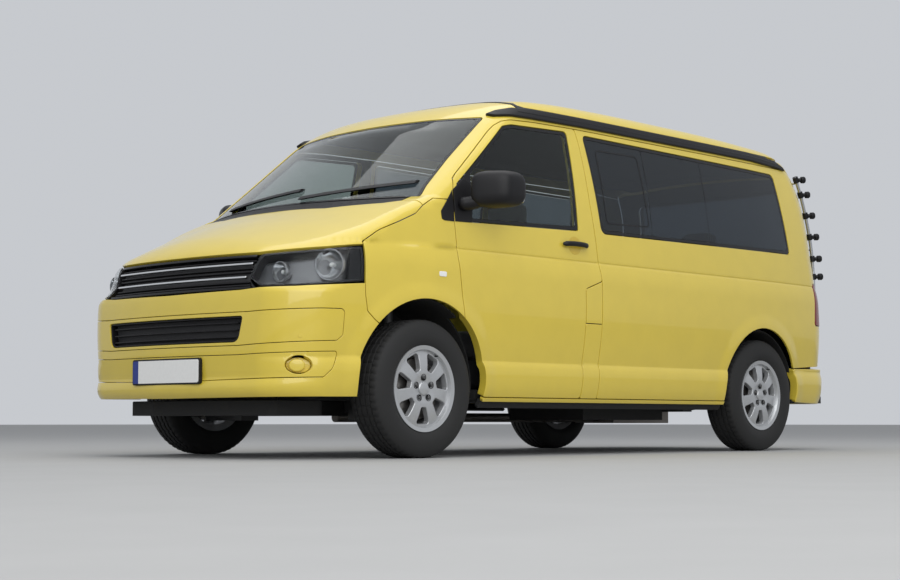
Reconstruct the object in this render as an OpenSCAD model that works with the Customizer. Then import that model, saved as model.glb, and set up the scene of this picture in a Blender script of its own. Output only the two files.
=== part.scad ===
// Camper van with a lifting roof. Millimetres, x forward, y left, z up, origin on the ground under the middle.

/* [Overall] */
// distance between the axles
wheelbase = 3000; // [2900:5:3200]
// front axle to the front of the bumper
front_overhang = 894; // [880:1:920]
// rear axle to the back of the bumper
rear_overhang = 998; // [970:1:1030]
// distance between left and right tyre middles
track = 1628; // [1616:1:1640]
// width over the doors
body_w = 1904; // [1890:1:1920]
// height over the closed lifting roof
roof_z = 1990; // [1970:1:2030]
// height of the lower edge of the side windows
belt_z = 1235; // [1225:1:1245]
// height of the lower edge of doors and side panels
sill_z = 285; // [275:1:295]
// height of the lower edge of the front bumper
chin_z = 246; // [236:1:256]

/* [Walls and gaps] */
// thickness of side walls and doors
wall = 52; // [40:1:60]
// thickness of roof and pillars
roof_wall = 42; // [34:1:48]
// thickness of thin outer panels
thin_wall = 24; // [18:1:30]
// thickness of window panes
glass_t = 6; // [4:0.5:8]
// depth of window panes behind the skin
glass_inset = 4; // [2:0.5:8]
// gap between neighbouring panels
gap = 7; // [6:0.5:9]
// seam between neighbouring fixed panels
seam = 0.4; // [0.3:0.05:0.6]
// clearance of a piece from its seat
seat = 0.3; // [0.2:0.05:0.4]

/* [Wheels] */
// tyre outer diameter
tyre_d = 686; // [670:1:700]
// tyre width
tyre_w = 215; // [205:1:225]
// rim lip diameter
rim_d = 441; // [430:1:448]
// rim width over the lips
rim_w = 190; // [176:1:196]
// number of wheel spokes
spokes = 7; // [5:1:9]
// wheel bolt circle diameter
bolt_circle = 120; // [112:1:130]
// wheel bolt hole diameter
bolt_d = 15; // [13:0.5:17]
// stub axle diameter
stub_d = 60; // [52:1:66]
// clearance round turning pins
run_gap = 0.1; // [0.08:0.01:0.15]
// front wheel arch radius in the body side
front_arch_r = 420; // [414:1:428]
// rear wheel arch radius in the body side
rear_arch_r = 396; // [390:1:404]
// distance of the steering axis from the middle of the tyre
king_off = 44; // [40:1:50]
// steering pin diameter
king_d = 30; // [26:1:34]

/* [Number plate] */
// front plate length
plate_l = 520; // [510:1:530]
// front plate height
plate_h = 112; // [108:1:116]
// front plate reach ahead of the bumper
plate_proud = 10; // [8:1:14]
// height of the middle of the front plate
plate_z = 425; // [415:1:435]

/* [Hinges] */
// hinge pin diameter
pin_d = 16; // [14:1:18]
// thickness of hinge arms
arm_t = 16; // [12:1:18]

/* [Jacking points] */
// jacking pad length
pad_l = 90; // [80:1:110]
// jacking pad width
pad_w = 60; // [50:1:70]
// jacking pad height of its lower face
pad_z = 262; // [250:1:270]
// jacking pad distance from each axle
pad_off = 560; // [540:5:620]

/* [Hidden] */
hw = body_w / 2;
nx = (front_overhang + wheelbase + rear_overhang - plate_proud) / 2;
tx = -nx - plate_proud;
fx = nx - front_overhang;
rx = fx - wheelbase;
axle_z = tyre_d / 2;
ty = track / 2;
top_z = roof_z - 232;
cant_z = roof_z - 182;
cap_z = roof_z - 124;
crease_z = 1052;
cowl_top_z = 1300;
upper_low_z = 1130;
screen_foot_z = 1284;
cowl_l = 62;
lamp_top_z = 1034;
lamp_low_z = 846;
lamp_rear_x = nx - 512;
grille_low_z = 797;
grille_half_w = 520;
screen_r = 2500;
screen_low = [nx - 726, 1312];
screen_high = [nx - 1386, roof_z - 158];
hood_r = 2600;
hood_low = [nx - 104, 1052];
hood_high = [nx - 726, 1318];
pop_front_x = nx - 1796;
pop_rear_x = tx + 330;
pop_hinge = [pop_rear_x + 20, cap_z - 12];
pop_pin_y = hw - 237;
arm_l = 36;
gate_hinge = [tx + 272, roof_z - 170];
gate_pin_y = hw - 288;
gate_front_x = gate_hinge[0] + 18;
gate_hole_x = gate_front_x + 2 * gap + 2;
arch_front_z = 366;
door_hinge = [nx - 1046, hw - 26];
door_hinge_z = [1010, 1140];
strap_h = 56;
strap_l = 90;
eye_wall = 4;
small_pin_d = 12;
bonnet_hinge = [nx - 962, 1232];
bonnet_elbow = bonnet_hinge + [89, -120];
bonnet_tip = bonnet_hinge + [225, -60];
bonnet_arm_y = hw - 224;
cowl_half_w = hw - 240;
foot_drop = 46;
bonnet_heel_y = hw - 140;
bonnet_heel_drop = foot_drop + 18;
king_y = ty - king_off;
out_y = hw + 248;
half_y = 200;
eye_r = 22;
strut_r = 26;
liner_gap = 4;
strut_top_z = arch_front_z + sqrt(pow(front_arch_r + liner_gap, 2) - strut_r * strut_r) - seat;
glass_in_y = hw - 252;
rack_y = hw - 262;
mirror_reach = 196;
rear_liner_y = ty - tyre_w / 2 - 70;
front_liner_y = 488;
$fn = 64;

function bez(a, b, c, d, n) = [for (i = [0:n]) let (t = i / n)
    a * pow(1 - t, 3) + 3 * b * t * pow(1 - t, 2) + 3 * c * t * t * (1 - t) + d * pow(t, 3)];
function flip(pts) = [for (i = [len(pts) - 1:-1:0]) [pts[i][0], -pts[i][1]]];
function flip_y(pts) = [for (i = [len(pts) - 1:-1:0]) [-pts[i][0], pts[i][1]]];
function nose_sag(y) = y * y / 3800;

// Outline of the body from above, left half from nose to tail
plan_half = concat(
    [for (y = [0:125:375]) [nx - nose_sag(y), y]],
    bez([nx - nose_sag(500), 500], [nx - 106, 720], [nx - 286, hw - 104], [nx - 516, hw - 74], 9),
    [[nx - 896, hw - 22], [nx - 1240, hw - 7], [nx - 1850, hw], [tx + 1650, hw], [tx + 850, hw - 7]],
    bez([tx + 420, hw - 28], [tx + 180, hw - 46], [tx + 56, hw - 90], [tx + 30, hw - 200], 6),
    [[tx + 6, 360], [tx, 0]]);
plan = concat(plan_half, [for (i = [len(plan_half) - 2:-1:1]) [plan_half[i][0], -plan_half[i][1]]]);

// Cross-section of the body, right half by y from the lower edge to the roof
function section_half(low) = [[hw - 76, low], [hw - 42, low + 34], [hw - 14, 480], [hw - 2, 690], [hw, 800],
    [hw - 3, crease_z], [hw - 12, 1150], [hw - 24, belt_z], [hw - 66, (belt_z + top_z) / 2 + 3], [hw - 107, top_z - 8],
    [hw - 124, cant_z - 18], [hw - 150, cap_z - 22], [hw - 190, cap_z + 14], [hw - 260, cap_z + 46],
    [hw - 400, cap_z + 82], [hw - 620, cap_z + 110], [hw - 800, roof_z - 4]];
function section(low) = concat(section_half(low), [[0, roof_z]], flip_y(section_half(low)));

// Side outline below and above the window sill
function lower_side(low) = concat([[tx, low], [nx - 92, low], [nx - 44, low + 26], [nx - 10, 400], [nx, 500],
    [nx, 600], [nx - 5, 700], [nx - 12, grille_low_z], [nx - 44, 905], [nx - 82, 1000], [nx - 104, 1032],
    [nx - 140, 1058], [nx - 246, 1110], [nx - 446, 1190], [nx - 600, 1248], [nx - 726, cowl_top_z]],
    [[tx + 96, cowl_top_z], [tx + 56, 1060], [tx + 26, 800], [tx + 20, 600], [tx, 540], [tx, 420]]);
upper_side = [[nx - 496, upper_low_z], screen_low, screen_high, [nx - 1480, roof_z - 114], [nx - 1640, roof_z - 74],
    [nx - 1800, roof_z - 40], [nx - 2050, roof_z - 12], [nx - 2450, roof_z], [tx + 1900, roof_z],
    [tx + 1000, roof_z - 16], [tx + 560, roof_z - 42], [tx + 370, roof_z - 74], [tx + 290, roof_z - 120],
    [tx + 236, roof_z - 190], [tx + 84, 1180], [tx + 78, upper_low_z]];

module inset(t) {
    if (t == 0) children();
    else offset(delta = -t) children();
}
module side_prism(y0, y1) {
    translate([0, y1, 0]) rotate([90, 0, 0]) linear_extrude(y1 - y0) children();
}
module front_prism(x0, x1) {
    multmatrix([[0, 0, 1, x0], [1, 0, 0, 0], [0, 1, 0, 0], [0, 0, 0, 1]]) linear_extrude(x1 - x0) children();
}
module top_prism(z0, z1) {
    translate([0, 0, z0]) linear_extrude(z1 - z0) children();
}
// Long prism with a crowned top, lying along the line from point a down to point b in the side view
module crown(a, b, r, t) {
    s = atan2(b[1] - a[1], a[0] - b[0]);
    n = [sin(s), cos(s)];
    p = (a + b) / 2 - n * t;
    multmatrix([[0, n[0], n[1], p[0]], [1, 0, 0, 0], [0, n[1], -n[0], p[1]], [0, 0, 0, 1]])
        translate([0, 0, -6000]) linear_extrude(12000) polygon(concat(
            [for (i = [-8:8]) let (y = i * (hw + 98) / 8) [y, sqrt(r * r - y * y) - r]],
            [[hw + 98, -6000], [-hw - 98, -6000]]));
}
module lower_shape(t, low) {
    intersection() {
        side_prism(-out_y, out_y) inset(t) polygon(lower_side(low));
        top_prism(low - 10, roof_z + 210) inset(t) polygon(plan);
        front_prism(-3000, 3000) inset(t) polygon(section(low));
        crown(hood_low, hood_high, hood_r, t);
    }
}
module upper_shape(t) {
    intersection() {
        side_prism(-out_y, out_y) inset(t) polygon(upper_side);
        top_prism(upper_low_z - 30, roof_z + 210) inset(t) polygon(plan);
        front_prism(-3000, 3000) inset(t) polygon(section(chin_z));
        crown(screen_low, screen_high, screen_r, t);
    }
}
// Windscreen block above the bonnet line, moved forward by d
module upper_front(d, drop = foot_drop, half_w = hw) {
    intersection() {
        translate([d, 0, 0]) upper_shape(0);
        top_prism(screen_foot_z - drop, roof_z) square([6000, 2 * half_w], center = true);
    }
}
module shape(t, low) {
    lower_shape(t, low);
    upper_shape(t);
}
module skin(t0, t1) {
    difference() {
        shape(t0, chin_z);
        shape(t1, chin_z - 300);
    }
}
module lower_skin(t) {
    difference() {
        lower_shape(0, chin_z);
        lower_shape(t, chin_z - 300);
    }
}
module upper_skin(t) {
    difference() {
        upper_shape(0);
        translate([0, 0, -0.01]) upper_shape(t);
    }
}
module shut() {
    offset(delta = -seam / 2) children();
}
module shut_moving() {
    offset(delta = -gap) children();
}
module both_sides() {
    children();
    mirror([0, 1, 0]) children();
}

// Panel outlines seen from the side
door_front_top = [nx - 1056, 1276];
door_front_low = [nx - 1146, 730];
flap_low = [nx - 2074, sill_z];
flap_high = [nx - 2133, 905];
flap_rear_low = [nx - 2216, sill_z];
flap_top = [nx - 2266, 952];
door_rear_belt = [nx - 2234, belt_z - 40];
door_rear_top = [nx - 2156, cant_z];
door_pts = [door_front_top, door_front_low, [nx - 1160, 600], [nx - 1330, sill_z], flap_low, flap_high,
    flap_top, door_rear_belt, door_rear_top, [nx - 1650, cant_z - 4], [nx - 1598, cant_z - 16],
    [nx - 1114, cant_z - 406]];
door_window_pts = [[nx - 1096, belt_z + 40], [nx - 1620, top_z - 6], [nx - 2096, top_z + 10],
    [nx - 2054, belt_z + 2]];
quarter_window_pts = [[nx - 2236, top_z + 10], [nx - 2334, belt_z - 4], [tx + 678, belt_z + 14],
    [tx + 746, top_z - 8]];
slide_pts = [[nx - 2236, sill_z], [nx - 2266, 952], door_rear_belt, door_rear_top, [rx + 560, cant_z],
    [rx + 490, 800], [rx + 430, 470], [rx + 470, sill_z]];
slide_window_pts = [[nx - 2250, top_z + 10], [nx - 2334, belt_z - 4], [rx + 596, belt_z + 8],
    [rx + 616, top_z + 4]];
rear_window_pts = [[rx + 456, top_z + 2], [rx + 440, belt_z + 10], [tx + 678, belt_z + 14],
    [tx + 746, top_z - 8]];
fender_pts = [[lamp_rear_x - 2, lamp_top_z + 4], [nx - 579, 1096], [nx - 959, 1276], [nx - 1006, 1312],
    [nx - 1044, 1312], door_front_top, door_front_low, [nx - 1160, 600], [nx - 1200, 560],
    [nx - 640, 560], [nx - 573, 680], [lamp_rear_x - 2, lamp_low_z]];
bumper_pts = [[nx + 20, grille_low_z], [nx - 120, 822], [lamp_rear_x - 2, lamp_low_z], [nx - 573, 680],
    [nx - 640, 560], [nx - 640, chin_z + 40], [nx - 400, chin_z - 10], [nx + 20, chin_z - 10]];
lamp_pts = [[nx + 20, grille_low_z], [nx - 120, 822], [lamp_rear_x, lamp_low_z],
    [lamp_rear_x, lamp_top_z], [nx - 200, 1010], [nx + 20, 1000]];
hood_pts = [[nx + 20, 1000], [nx - 200, 1010], [lamp_rear_x, lamp_top_z + 4], [nx - 579, 1096],
    [nx - 959, 1276], [nx - 1010, 1312], [nx - 1010, 1420], [nx + 20, 1420]];
side_front_pts = [flap_rear_low, flap_top, door_rear_belt, door_rear_top];
side_rear_pts = [[tx - 20, cant_z], [tx - 20, 548], [tx + 676, 524], [tx + 676, sill_z]];
side_left_pts = concat(side_front_pts, side_rear_pts);
side_right_pts = concat([[rx + 560, cant_z]], side_rear_pts,
    [[rx + 470, sill_z], [rx + 430, 470], [rx + 490, 800]]);
flap_pts = [flap_low, flap_high, flap_top, flap_rear_low];
rear_bumper_pts = [[tx - 20, 548], [tx + 676, 524], [tx + 676, sill_z + 20], [tx + 500, sill_z + 20],
    [tx - 20, sill_z + 50]];
lamp_rear_pts = [[tx - 20, 800], [tx - 20, 1090], [tx + 186, 1074], [tx + 166, 800]];

// Outlines seen from the front or back
screen_half = [[hw - 144, screen_foot_z - 14], [hw - 236, roof_z - 192], [hw - 532, roof_z - 166], [0, roof_z - 158]];
screen_pts = concat(screen_half, flip_y([for (i = [0:2]) screen_half[i]]));
gate_half = [[hw - 166, 552], [hw - 152, 800], [hw - 156, 1080], [hw - 248, roof_z - 176],
    [hw - 256, roof_z - 144]];
gate_pts = concat(gate_half, flip_y(gate_half));
gate_window_half = [[hw - 276, 1170], [hw - 352, roof_z - 258]];
gate_window_pts = concat(gate_window_half, flip_y(gate_window_half));

module arches(y0, y1) {
    translate([fx, y1, arch_front_z]) rotate([90, 0, 0]) cylinder(r = front_arch_r, h = y1 - y0);
    translate([rx, y1, axle_z]) rotate([90, 0, 0]) cylinder(r = rear_arch_r, h = y1 - y0);
}
module gate_hole(grow, x1) {
    front_prism(tx - 50, x1) inset(-grow) polygon(gate_pts);
}

// Body shell pieces that stay put
module floor_pan() {
    color([0.08, 0.08, 0.08]) difference() {
        intersection() {
            top_prism(300, 345) polygon([[fx - 440, -hw], [fx - 440, hw], [tx + 120, hw], [tx + 120, -hw]]);
            lower_shape(wall + seat, chin_z - 300);
        }
        both_sides() {
            translate([rx - rear_arch_r - 30, rear_liner_y - seat, 200])
                cube([2 * rear_arch_r + 60, 400, 300]);
            translate([flap_low[0] - gap - 4, hw - wall - 60, 200]) cube([1500, 400, 300]);
        }
    }
    color([0.08, 0.08, 0.08]) for (x = [fx - pad_off, rx + pad_off], s = [-1, 1])
        translate([x - pad_l / 2, s * (hw - 140) - pad_w / 2, pad_z]) cube([pad_l, pad_w, 310 - pad_z]);
}
module liner(x, z, r, inner_y, skin_t) {
    difference() {
        intersection() {
            translate([x, hw - wall - 20, z]) rotate([90, 0, 0])
                cylinder(r = r + 8, h = hw - wall - 20 - inner_y);
            lower_shape(skin_t + seat, chin_z - 300);
        }
        translate([x, hw, z]) rotate([90, 0, 0]) cylinder(r = r, h = hw - inner_y - 8);
        translate([x - 600, 0, z - 700]) cube([1200, 1200, 660]);
        translate([x - 150, inner_y - 20, z - 80]) cube([300, 60, 180]);
        side_prism(hw - wall - 80, out_y) polygon(door_pts);
    }
}
module wheel_liners() {
    color([0.05, 0.05, 0.05]) both_sides() {
        liner(fx, arch_front_z, front_arch_r + liner_gap, front_liner_y, thin_wall);
        liner(rx, axle_z, rear_arch_r + liner_gap, rear_liner_y, wall);
    }
}
module side_panel(pts) {
    difference() {
        intersection() {
            skin(0, wall);
            side_prism(half_y, out_y) shut() polygon(pts);
        }
        arches(0, out_y);
        gate_hole(0, gate_hole_x);
        side_prism(glass_in_y, out_y) polygon(lamp_rear_pts);
    }
}
module side_panel_left() {
    color([0.9, 0.62, 0.05]) difference() {
        side_panel(side_left_pts);
        side_prism(glass_in_y, out_y) polygon(quarter_window_pts);
    }
}
module side_panel_right() {
    color([0.9, 0.62, 0.05]) mirror([0, 1, 0]) difference() {
        side_panel(side_right_pts);
        side_prism(glass_in_y, out_y) polygon(rear_window_pts);
    }
}
module sliding_door() {
    color([0.9, 0.62, 0.05]) mirror([0, 1, 0]) difference() {
        intersection() {
            skin(0, wall);
            side_prism(half_y, out_y) shut() polygon(slide_pts);
        }
        arches(0, out_y);
        side_prism(glass_in_y, out_y) polygon(slide_window_pts);
    }
}
module fuel_flap() {
    color([0.9, 0.62, 0.05]) intersection() {
        skin(0, wall);
        side_prism(half_y, out_y) shut() polygon(flap_pts);
    }
}
module upper_frame() {
    color([0.9, 0.62, 0.05]) {
        upper_shell();
        gate_pin(0);
        for (s = [-1, 1]) translate([pop_hinge[0], s * (pop_pin_y - 20), pop_hinge[1]]) rotate([-90 * s, 0, 0])
            cylinder(d = pin_d, h = 80);
    }
}
module upper_shell() {
    difference() {
        upper_skin(roof_wall);
        top_prism(1000, 1312) square([6000, 3000], center = true);
        for (s = [0, 1]) mirror([0, s, 0]) {
            side_prism(half_y, out_y) polygon(door_pts);
            side_prism(half_y, out_y) polygon([[nx - 1900, 1000], [nx - 1900, cant_z], [tx - 50, cant_z],
                [tx - 50, 1000]]);
        }
        front_prism(nx - 1750, nx) polygon(screen_pts);
        side_prism(-out_y, out_y) polygon([[pop_front_x + gap, roof_z + 50], [pop_front_x + gap, cap_z],
            [pop_hinge[0] + 40, cap_z], [pop_hinge[0] + 40, cap_z - 2 * gap],
            [pop_rear_x - 2 * gap - 1, cap_z - 2 * gap], [pop_rear_x - 2 * gap - 1, roof_z + 50]]);
        for (s = [-1, 1]) translate([pop_hinge[0] - arm_l, s * pop_pin_y - arm_t / 2 - gap, cap_z - 30 - 2 * gap])
            cube([2 * arm_l, arm_t + 2 * gap, 100]);
        gate_hole(0, gate_hole_x);
    }
}
module fenders() {
    color([0.9, 0.62, 0.05]) both_sides() {
        difference() {
            intersection() {
                skin(0, thin_wall);
                side_prism(hw - 192, out_y) shut() polygon(fender_pts);
            }
            arches(0, out_y);
            for (z = door_hinge_z) translate([door_hinge[0] - strap_l - 10, hw - 60, z - strap_h / 2 - gap])
                cube([strap_l + 30, 120, strap_h + 2 * gap]);
        }
        for (z = door_hinge_z) translate([door_hinge[0], door_hinge[1], z - strap_h / 2 - 2 * gap])
            cylinder(d = small_pin_d, h = strap_h + 4 * gap);
        translate([bonnet_hinge[0], hw - 42, bonnet_hinge[1]]) rotate([90, 0, 0])
            cylinder(d = pin_d, h = hw - 42 - bonnet_arm_y + 10);
    }
}
// Flat bar between two points of the side view
module bar(a, b, w) {
    d = (b - a) / norm(b - a);
    n = [-d[1], d[0]] * w / 2;
    polygon([a + n, b + n, b - n, a - n]);
}
module front_bumper() {
    color([0.9, 0.62, 0.05]) difference() {
        intersection() {
            lower_skin(thin_wall);
            side_prism(-out_y, out_y) shut() polygon(bumper_pts);
        }
        arches(-out_y, out_y);
        front_prism(nx - 400, nx + 50) offset(delta = seam) polygon(lower_grille_pts);
    }
}
lower_grille_pts = [[-480, 560], [480, 560], [500, 620], [478, 682], [-478, 682], [-500, 620]];
module grilles() {
    color([0.05, 0.05, 0.05]) {
        intersection() {
            difference() {
                lower_shape(6, chin_z);
                lower_shape(thin_wall, chin_z - 300);
            }
            side_prism(-out_y, out_y) shut() polygon(lamp_pts);
            front_prism(nx - 400, nx + 50) translate([-grille_half_w, 700])
                square([2 * grille_half_w, 400]);
        }
        intersection() {
            difference() {
                lower_shape(8, chin_z);
                lower_shape(thin_wall, chin_z - 300);
            }
            front_prism(nx - 400, nx + 50) polygon(lower_grille_pts);
        }
    }
}
module lamp_zone(grow) {
    side_prism(grille_half_w + seam - grow, out_y) offset(delta = grow - seam / 2) polygon(lamp_pts);
}
module headlamp_housings() {
    color([0.1, 0.1, 0.1]) both_sides() difference() {
        intersection() {
            lower_shape(8 + seat, chin_z);
            lamp_zone(0);
        }
        lower_shape(150, chin_z - 300);
        difference() {
            lamp_zone(-14);
            lower_shape(44, chin_z - 300);
        }
    }
}
module headlamp_lenses() {
    color([0.8, 0.85, 0.9, 0.5]) both_sides() intersection() {
        difference() {
            lower_shape(0, chin_z);
            lower_shape(8, chin_z - 300);
        }
        lamp_zone(0);
    }
}
module pane(pts) {
    intersection() {
        skin(glass_inset, glass_inset + glass_t);
        side_prism(hw - 352, out_y) offset(delta = -seat) polygon(pts);
    }
}
module windscreen() {
    color([0.2, 0.25, 0.25, 0.5]) intersection() {
        difference() {
            upper_shape(glass_inset);
            translate([0, 0, -0.01]) upper_shape(glass_inset + glass_t);
        }
        front_prism(nx - 1700, nx - 500) offset(delta = -seat) polygon(screen_pts);
        top_prism(screen_foot_z, roof_z) square([6000, 3000], center = true);
    }
}
module side_glass_left() {
    color([0.1, 0.12, 0.12, 0.6]) pane(quarter_window_pts);
}
module side_glass_right() {
    color([0.1, 0.12, 0.12, 0.6]) mirror([0, 1, 0]) {
        pane(slide_window_pts);
        pane(rear_window_pts);
    }
}
module cowl() {
    color([0.05, 0.05, 0.05]) difference() {
        intersection() {
            difference() {
                lower_shape(8, chin_z);
                lower_shape(30, chin_z - 300);
            }
            upper_front(cowl_l);
            top_prism(1150, 1400) translate([nx - 900, -cowl_half_w]) square([400, 2 * cowl_half_w]);
        }
        upper_shape(glass_inset - seat);
    }
}
module wipers() {
    color([0.04, 0.04, 0.04]) for (y = [-560, 120]) difference() {
        intersection() {
            upper_shape(-12);
            front_prism(nx - 1100, nx - 500) translate([y, 1340]) rotate(5) square([620, 18]);
        }
        upper_shape(glass_inset - seat);
    }
}
module front_plate() {
    color([0.9, 0.9, 0.88]) difference() {
        translate([nx - 20, -plate_l / 2, plate_z - plate_h / 2]) cube([20 + plate_proud, plate_l, plate_h]);
        lower_shape(-seat, chin_z);
    }
}
module rear_bumper() {
    color([0.9, 0.62, 0.05]) difference() {
        intersection() {
            lower_skin(wall);
            side_prism(-out_y, out_y) shut() polygon(rear_bumper_pts);
        }
        arches(-out_y, out_y);
    }
}
module tail_lamps() {
    color([0.35, 0.02, 0.02]) both_sides() difference() {
        intersection() {
            lower_skin(wall);
            side_prism(glass_in_y, out_y) shut() polygon(lamp_rear_pts);
        }
        gate_hole(0, gate_hole_x);
    }
}
module roof_rails() {
    color([0.04, 0.04, 0.04]) both_sides() intersection() {
        difference() {
            upper_shape(-20);
            upper_shape(-seat);
        }
        side_prism(hw - 452, out_y) polygon([[nx - 1486, cant_z + 6], [nx - 1560, cap_z - 8], [tx + 620, cap_z - 8],
            [tx + 540, cant_z + 6]]);
    }
}

// Inside
dash_pts = [[nx - 880, 1180], [nx - 860, 1000], [fx + 10, arch_front_z + front_arch_r + 12 + seat],
    [nx - 1140, arch_front_z + front_arch_r + 12 + seat], [nx - 1260, 900], [nx - 1240, 1110],
    [nx - 1060, 1200]];
module dashboard() {
    color([0.15, 0.15, 0.16]) difference() {
        side_prism(-hw + wall + 90, hw - wall - 90) polygon(dash_pts);
        both_sides() translate([bonnet_hinge[0] - 40, bonnet_arm_y - 2 * gap, bonnet_elbow[1] - 40])
            cube([300, 300, 300]);
    }
}
module steering_wheel() {
    color([0.06, 0.06, 0.06]) difference() {
        translate([nx - 1360, -hw + 500, 1090]) rotate([0, -64, 0]) {
            rotate_extrude() translate([175, 0]) circle(r = 16);
            difference() {
                cylinder(r = 178, h = 18, center = true);
                for (a = [30, 150, 270]) rotate(a) linear_extrude(60, center = true)
                    polygon([[26, -44], [150, -86], [160, 0], [150, 86], [26, 44]]);
            }
            translate([0, 0, -172]) cylinder(r = 30, h = 180);
        }
        side_prism(-1000, 1000) offset(delta = seat) polygon(dash_pts);
    }
}
module seat(x, y, w) {
    translate([x, y, 0]) {
        translate([-300, -w / 2, 380]) cube([520, w, 180]);
        translate([-220, -w / 2 + 40, 345 + seat]) cube([380, w - 80, 40]);
        translate([0, w / 2, 0]) rotate([90, 0, 0]) linear_extrude(w) polygon([[-180, 520], [-300, 520],
            [-440, 1120], [-400, 1180], [-320, 1150]]);
        translate([0, 130, 0]) rotate([90, 0, 0]) linear_extrude(260) polygon([[-385, 1140], [-420, 1140],
            [-470, 1360], [-440, 1400], [-390, 1380], [-365, 1200]]);
    }
}
module front_seats() {
    color([0.2, 0.2, 0.22]) for (s = [-1, 1]) seat(nx - 1560, s * (hw - 440), 520);
}
module rear_bench() {
    color([0.2, 0.2, 0.22]) difference() {
        seat(rx + 330, 0, 1180);
        translate([rx - 200, -70, 1182]) cube([400, 140, 400]);
    }
}

// Below
module engine() {
    color([0.25, 0.25, 0.25]) translate([fx - 60, -430, 285 + seat]) cube([600, 860, 500]);
}
module front_suspension() {
    color([0.12, 0.12, 0.12]) {
        translate([fx - 120, -440, 225]) cube([170, 880, 60]);
        both_sides() {
            translate([fx - eye_r, 430, 186]) cube([2 * eye_r, king_y - 430, 44]);
            translate([fx, king_y, 186]) cylinder(r = eye_r, h = 44);
            translate([fx - 60, 420, 186]) cube([120, 60, 60]);
            translate([fx, king_y, 228]) cylinder(d = king_d, h = 44);
            translate([fx, king_y - 125, 200]) cylinder(r = strut_r, h = strut_top_z - 200);
            translate([fx - eye_r, king_y - 130, 462]) cube([2 * eye_r, 130, 36]);
            translate([fx, king_y, 462]) cylinder(r = eye_r, h = 36);
            translate([fx, king_y, 420]) cylinder(d = king_d, h = 44);
        }
    }
}
module rear_suspension() {
    color([0.12, 0.12, 0.12]) {
        translate([rx + 430, -688, 240]) cube([90, 1376, 60 - seat]);
        both_sides() {
            translate([rx - 50, 650, axle_z - 60]) cube([100, 38, 120]);
            side_prism(650, 688) polygon([[rx - 40, axle_z - 50], [rx - 40, axle_z + 40], [rx + 330, 298],
                [rx + 470, 298], [rx + 470, 245]]);
            translate([rx, ty + 30, axle_z]) rotate([90, 0, 0]) cylinder(d = stub_d, h = ty + 30 - 660);
        }
    }
}
module exhaust() {
    color([0.3, 0.29, 0.28]) {
        translate([tx + 300, -640, 170]) cube([620, 330, 130 - seat]);
        translate([tx + 910, -480, 205]) rotate([0, 90, 0]) cylinder(r = 28, h = 2400);
        translate([tx + 60, -560, 240]) rotate([0, 90, 0]) cylinder(r = 30, h = 260);
    }
}
module fuel_tank() {
    color([0.07, 0.07, 0.07]) translate([rx + 640, 60, 190]) cube([760, 560, 110 - seat]);
}

// Pieces that open
module bonnet() {
    color([0.9, 0.62, 0.05]) {
        difference() {
            intersection() {
                lower_skin(thin_wall);
                side_prism(-out_y, out_y) shut_moving() polygon(hood_pts);
            }
            upper_front(cowl_l + 2 * gap);
            upper_front(cowl_l + 2 * gap, bonnet_heel_drop, bonnet_heel_y);
        }
        both_sides() intersection() {
            side_prism(bonnet_arm_y, bonnet_arm_y + arm_t) difference() {
                union() {
                    bar(bonnet_hinge, bonnet_elbow, 24);
                    bar(bonnet_elbow, bonnet_tip, 24);
                    translate(bonnet_hinge) circle(d = pin_d + 4 * eye_wall);
                    translate(bonnet_elbow) circle(d = 24);
                }
                translate(bonnet_hinge) circle(d = pin_d + 2 * run_gap);
            }
            lower_shape(3, chin_z);
        }
    }
}
module pop_top() {
    color([0.9, 0.62, 0.05]) difference() {
        union() {
            intersection() {
                upper_skin(roof_wall);
                side_prism(-out_y, out_y) polygon([[pop_front_x, roof_z + 50], [pop_front_x, cap_z + gap],
                    [pop_rear_x, cap_z + gap], [pop_rear_x, roof_z + 50]]);
            }
            for (s = [-1, 1]) translate([pop_hinge[0] - arm_l / 2, s * pop_pin_y - arm_t / 2, cap_z - 30])
                cube([arm_l, arm_t, 50]);
        }
        for (s = [-1, 1]) translate([pop_hinge[0], s * pop_pin_y - 40, pop_hinge[1]]) rotate([-90, 0, 0])
            cylinder(d = pin_d + 2 * run_gap, h = 80);
    }
}
module gate_pin(hole) {
    for (s = [-1, 1]) translate([gate_hinge[0], s * (gate_pin_y - 24 * hole), gate_hinge[1]])
        rotate([-90 * s, 0, 0]) cylinder(d = pin_d + (hole ? 2 * run_gap : 0), h = 80);
}
module tailgate() {
    color([0.9, 0.62, 0.05]) difference() {
        intersection() {
            skin(0, wall);
            gate_hole(-gap, gate_front_x);
        }
        front_prism(tx - 50, tx + 420) polygon(gate_window_pts);
        gate_pin(1);
    }
}
module tailgate_glass() {
    color([0.1, 0.12, 0.12, 0.6]) intersection() {
        difference() {
            upper_shape(glass_inset);
            upper_shape(glass_inset + glass_t);
        }
        front_prism(tx - 50, tx + 420) offset(delta = -seat) polygon(gate_window_pts);
    }
}
module tube(a, b, r) {
    d = b - a;
    translate(a) rotate([0, acos(d[2] / norm(d)), atan2(d[1], d[0])]) cylinder(r = r, h = norm(d), $fn = 24);
}
module bike_rack() {
    color([0.6, 0.6, 0.62]) difference() {
        rack_tubes();
        shape(-seat, chin_z);
    }
}
module rack_tubes() {
    union() {
        for (s = [-1, 1]) {
            tube([tx + 130, s * rack_y, roof_z - 190], [tx + 28, s * rack_y, 900], 14);
            tube([tx + 130, s * rack_y, roof_z - 200], [tx + 236, s * rack_y, roof_z - 215], 14);
            tube([tx + 36, s * rack_y, 960], [tx + 56, s * rack_y, 960], 14);
        }
        for (z = [1000, 1300, 1560, roof_z - 210]) let (x = tx + 30 + (z - 900) * 0.112)
            tube([x, -rack_y - 30, z], [x, rack_y + 30, z], 12);
    }
}
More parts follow.
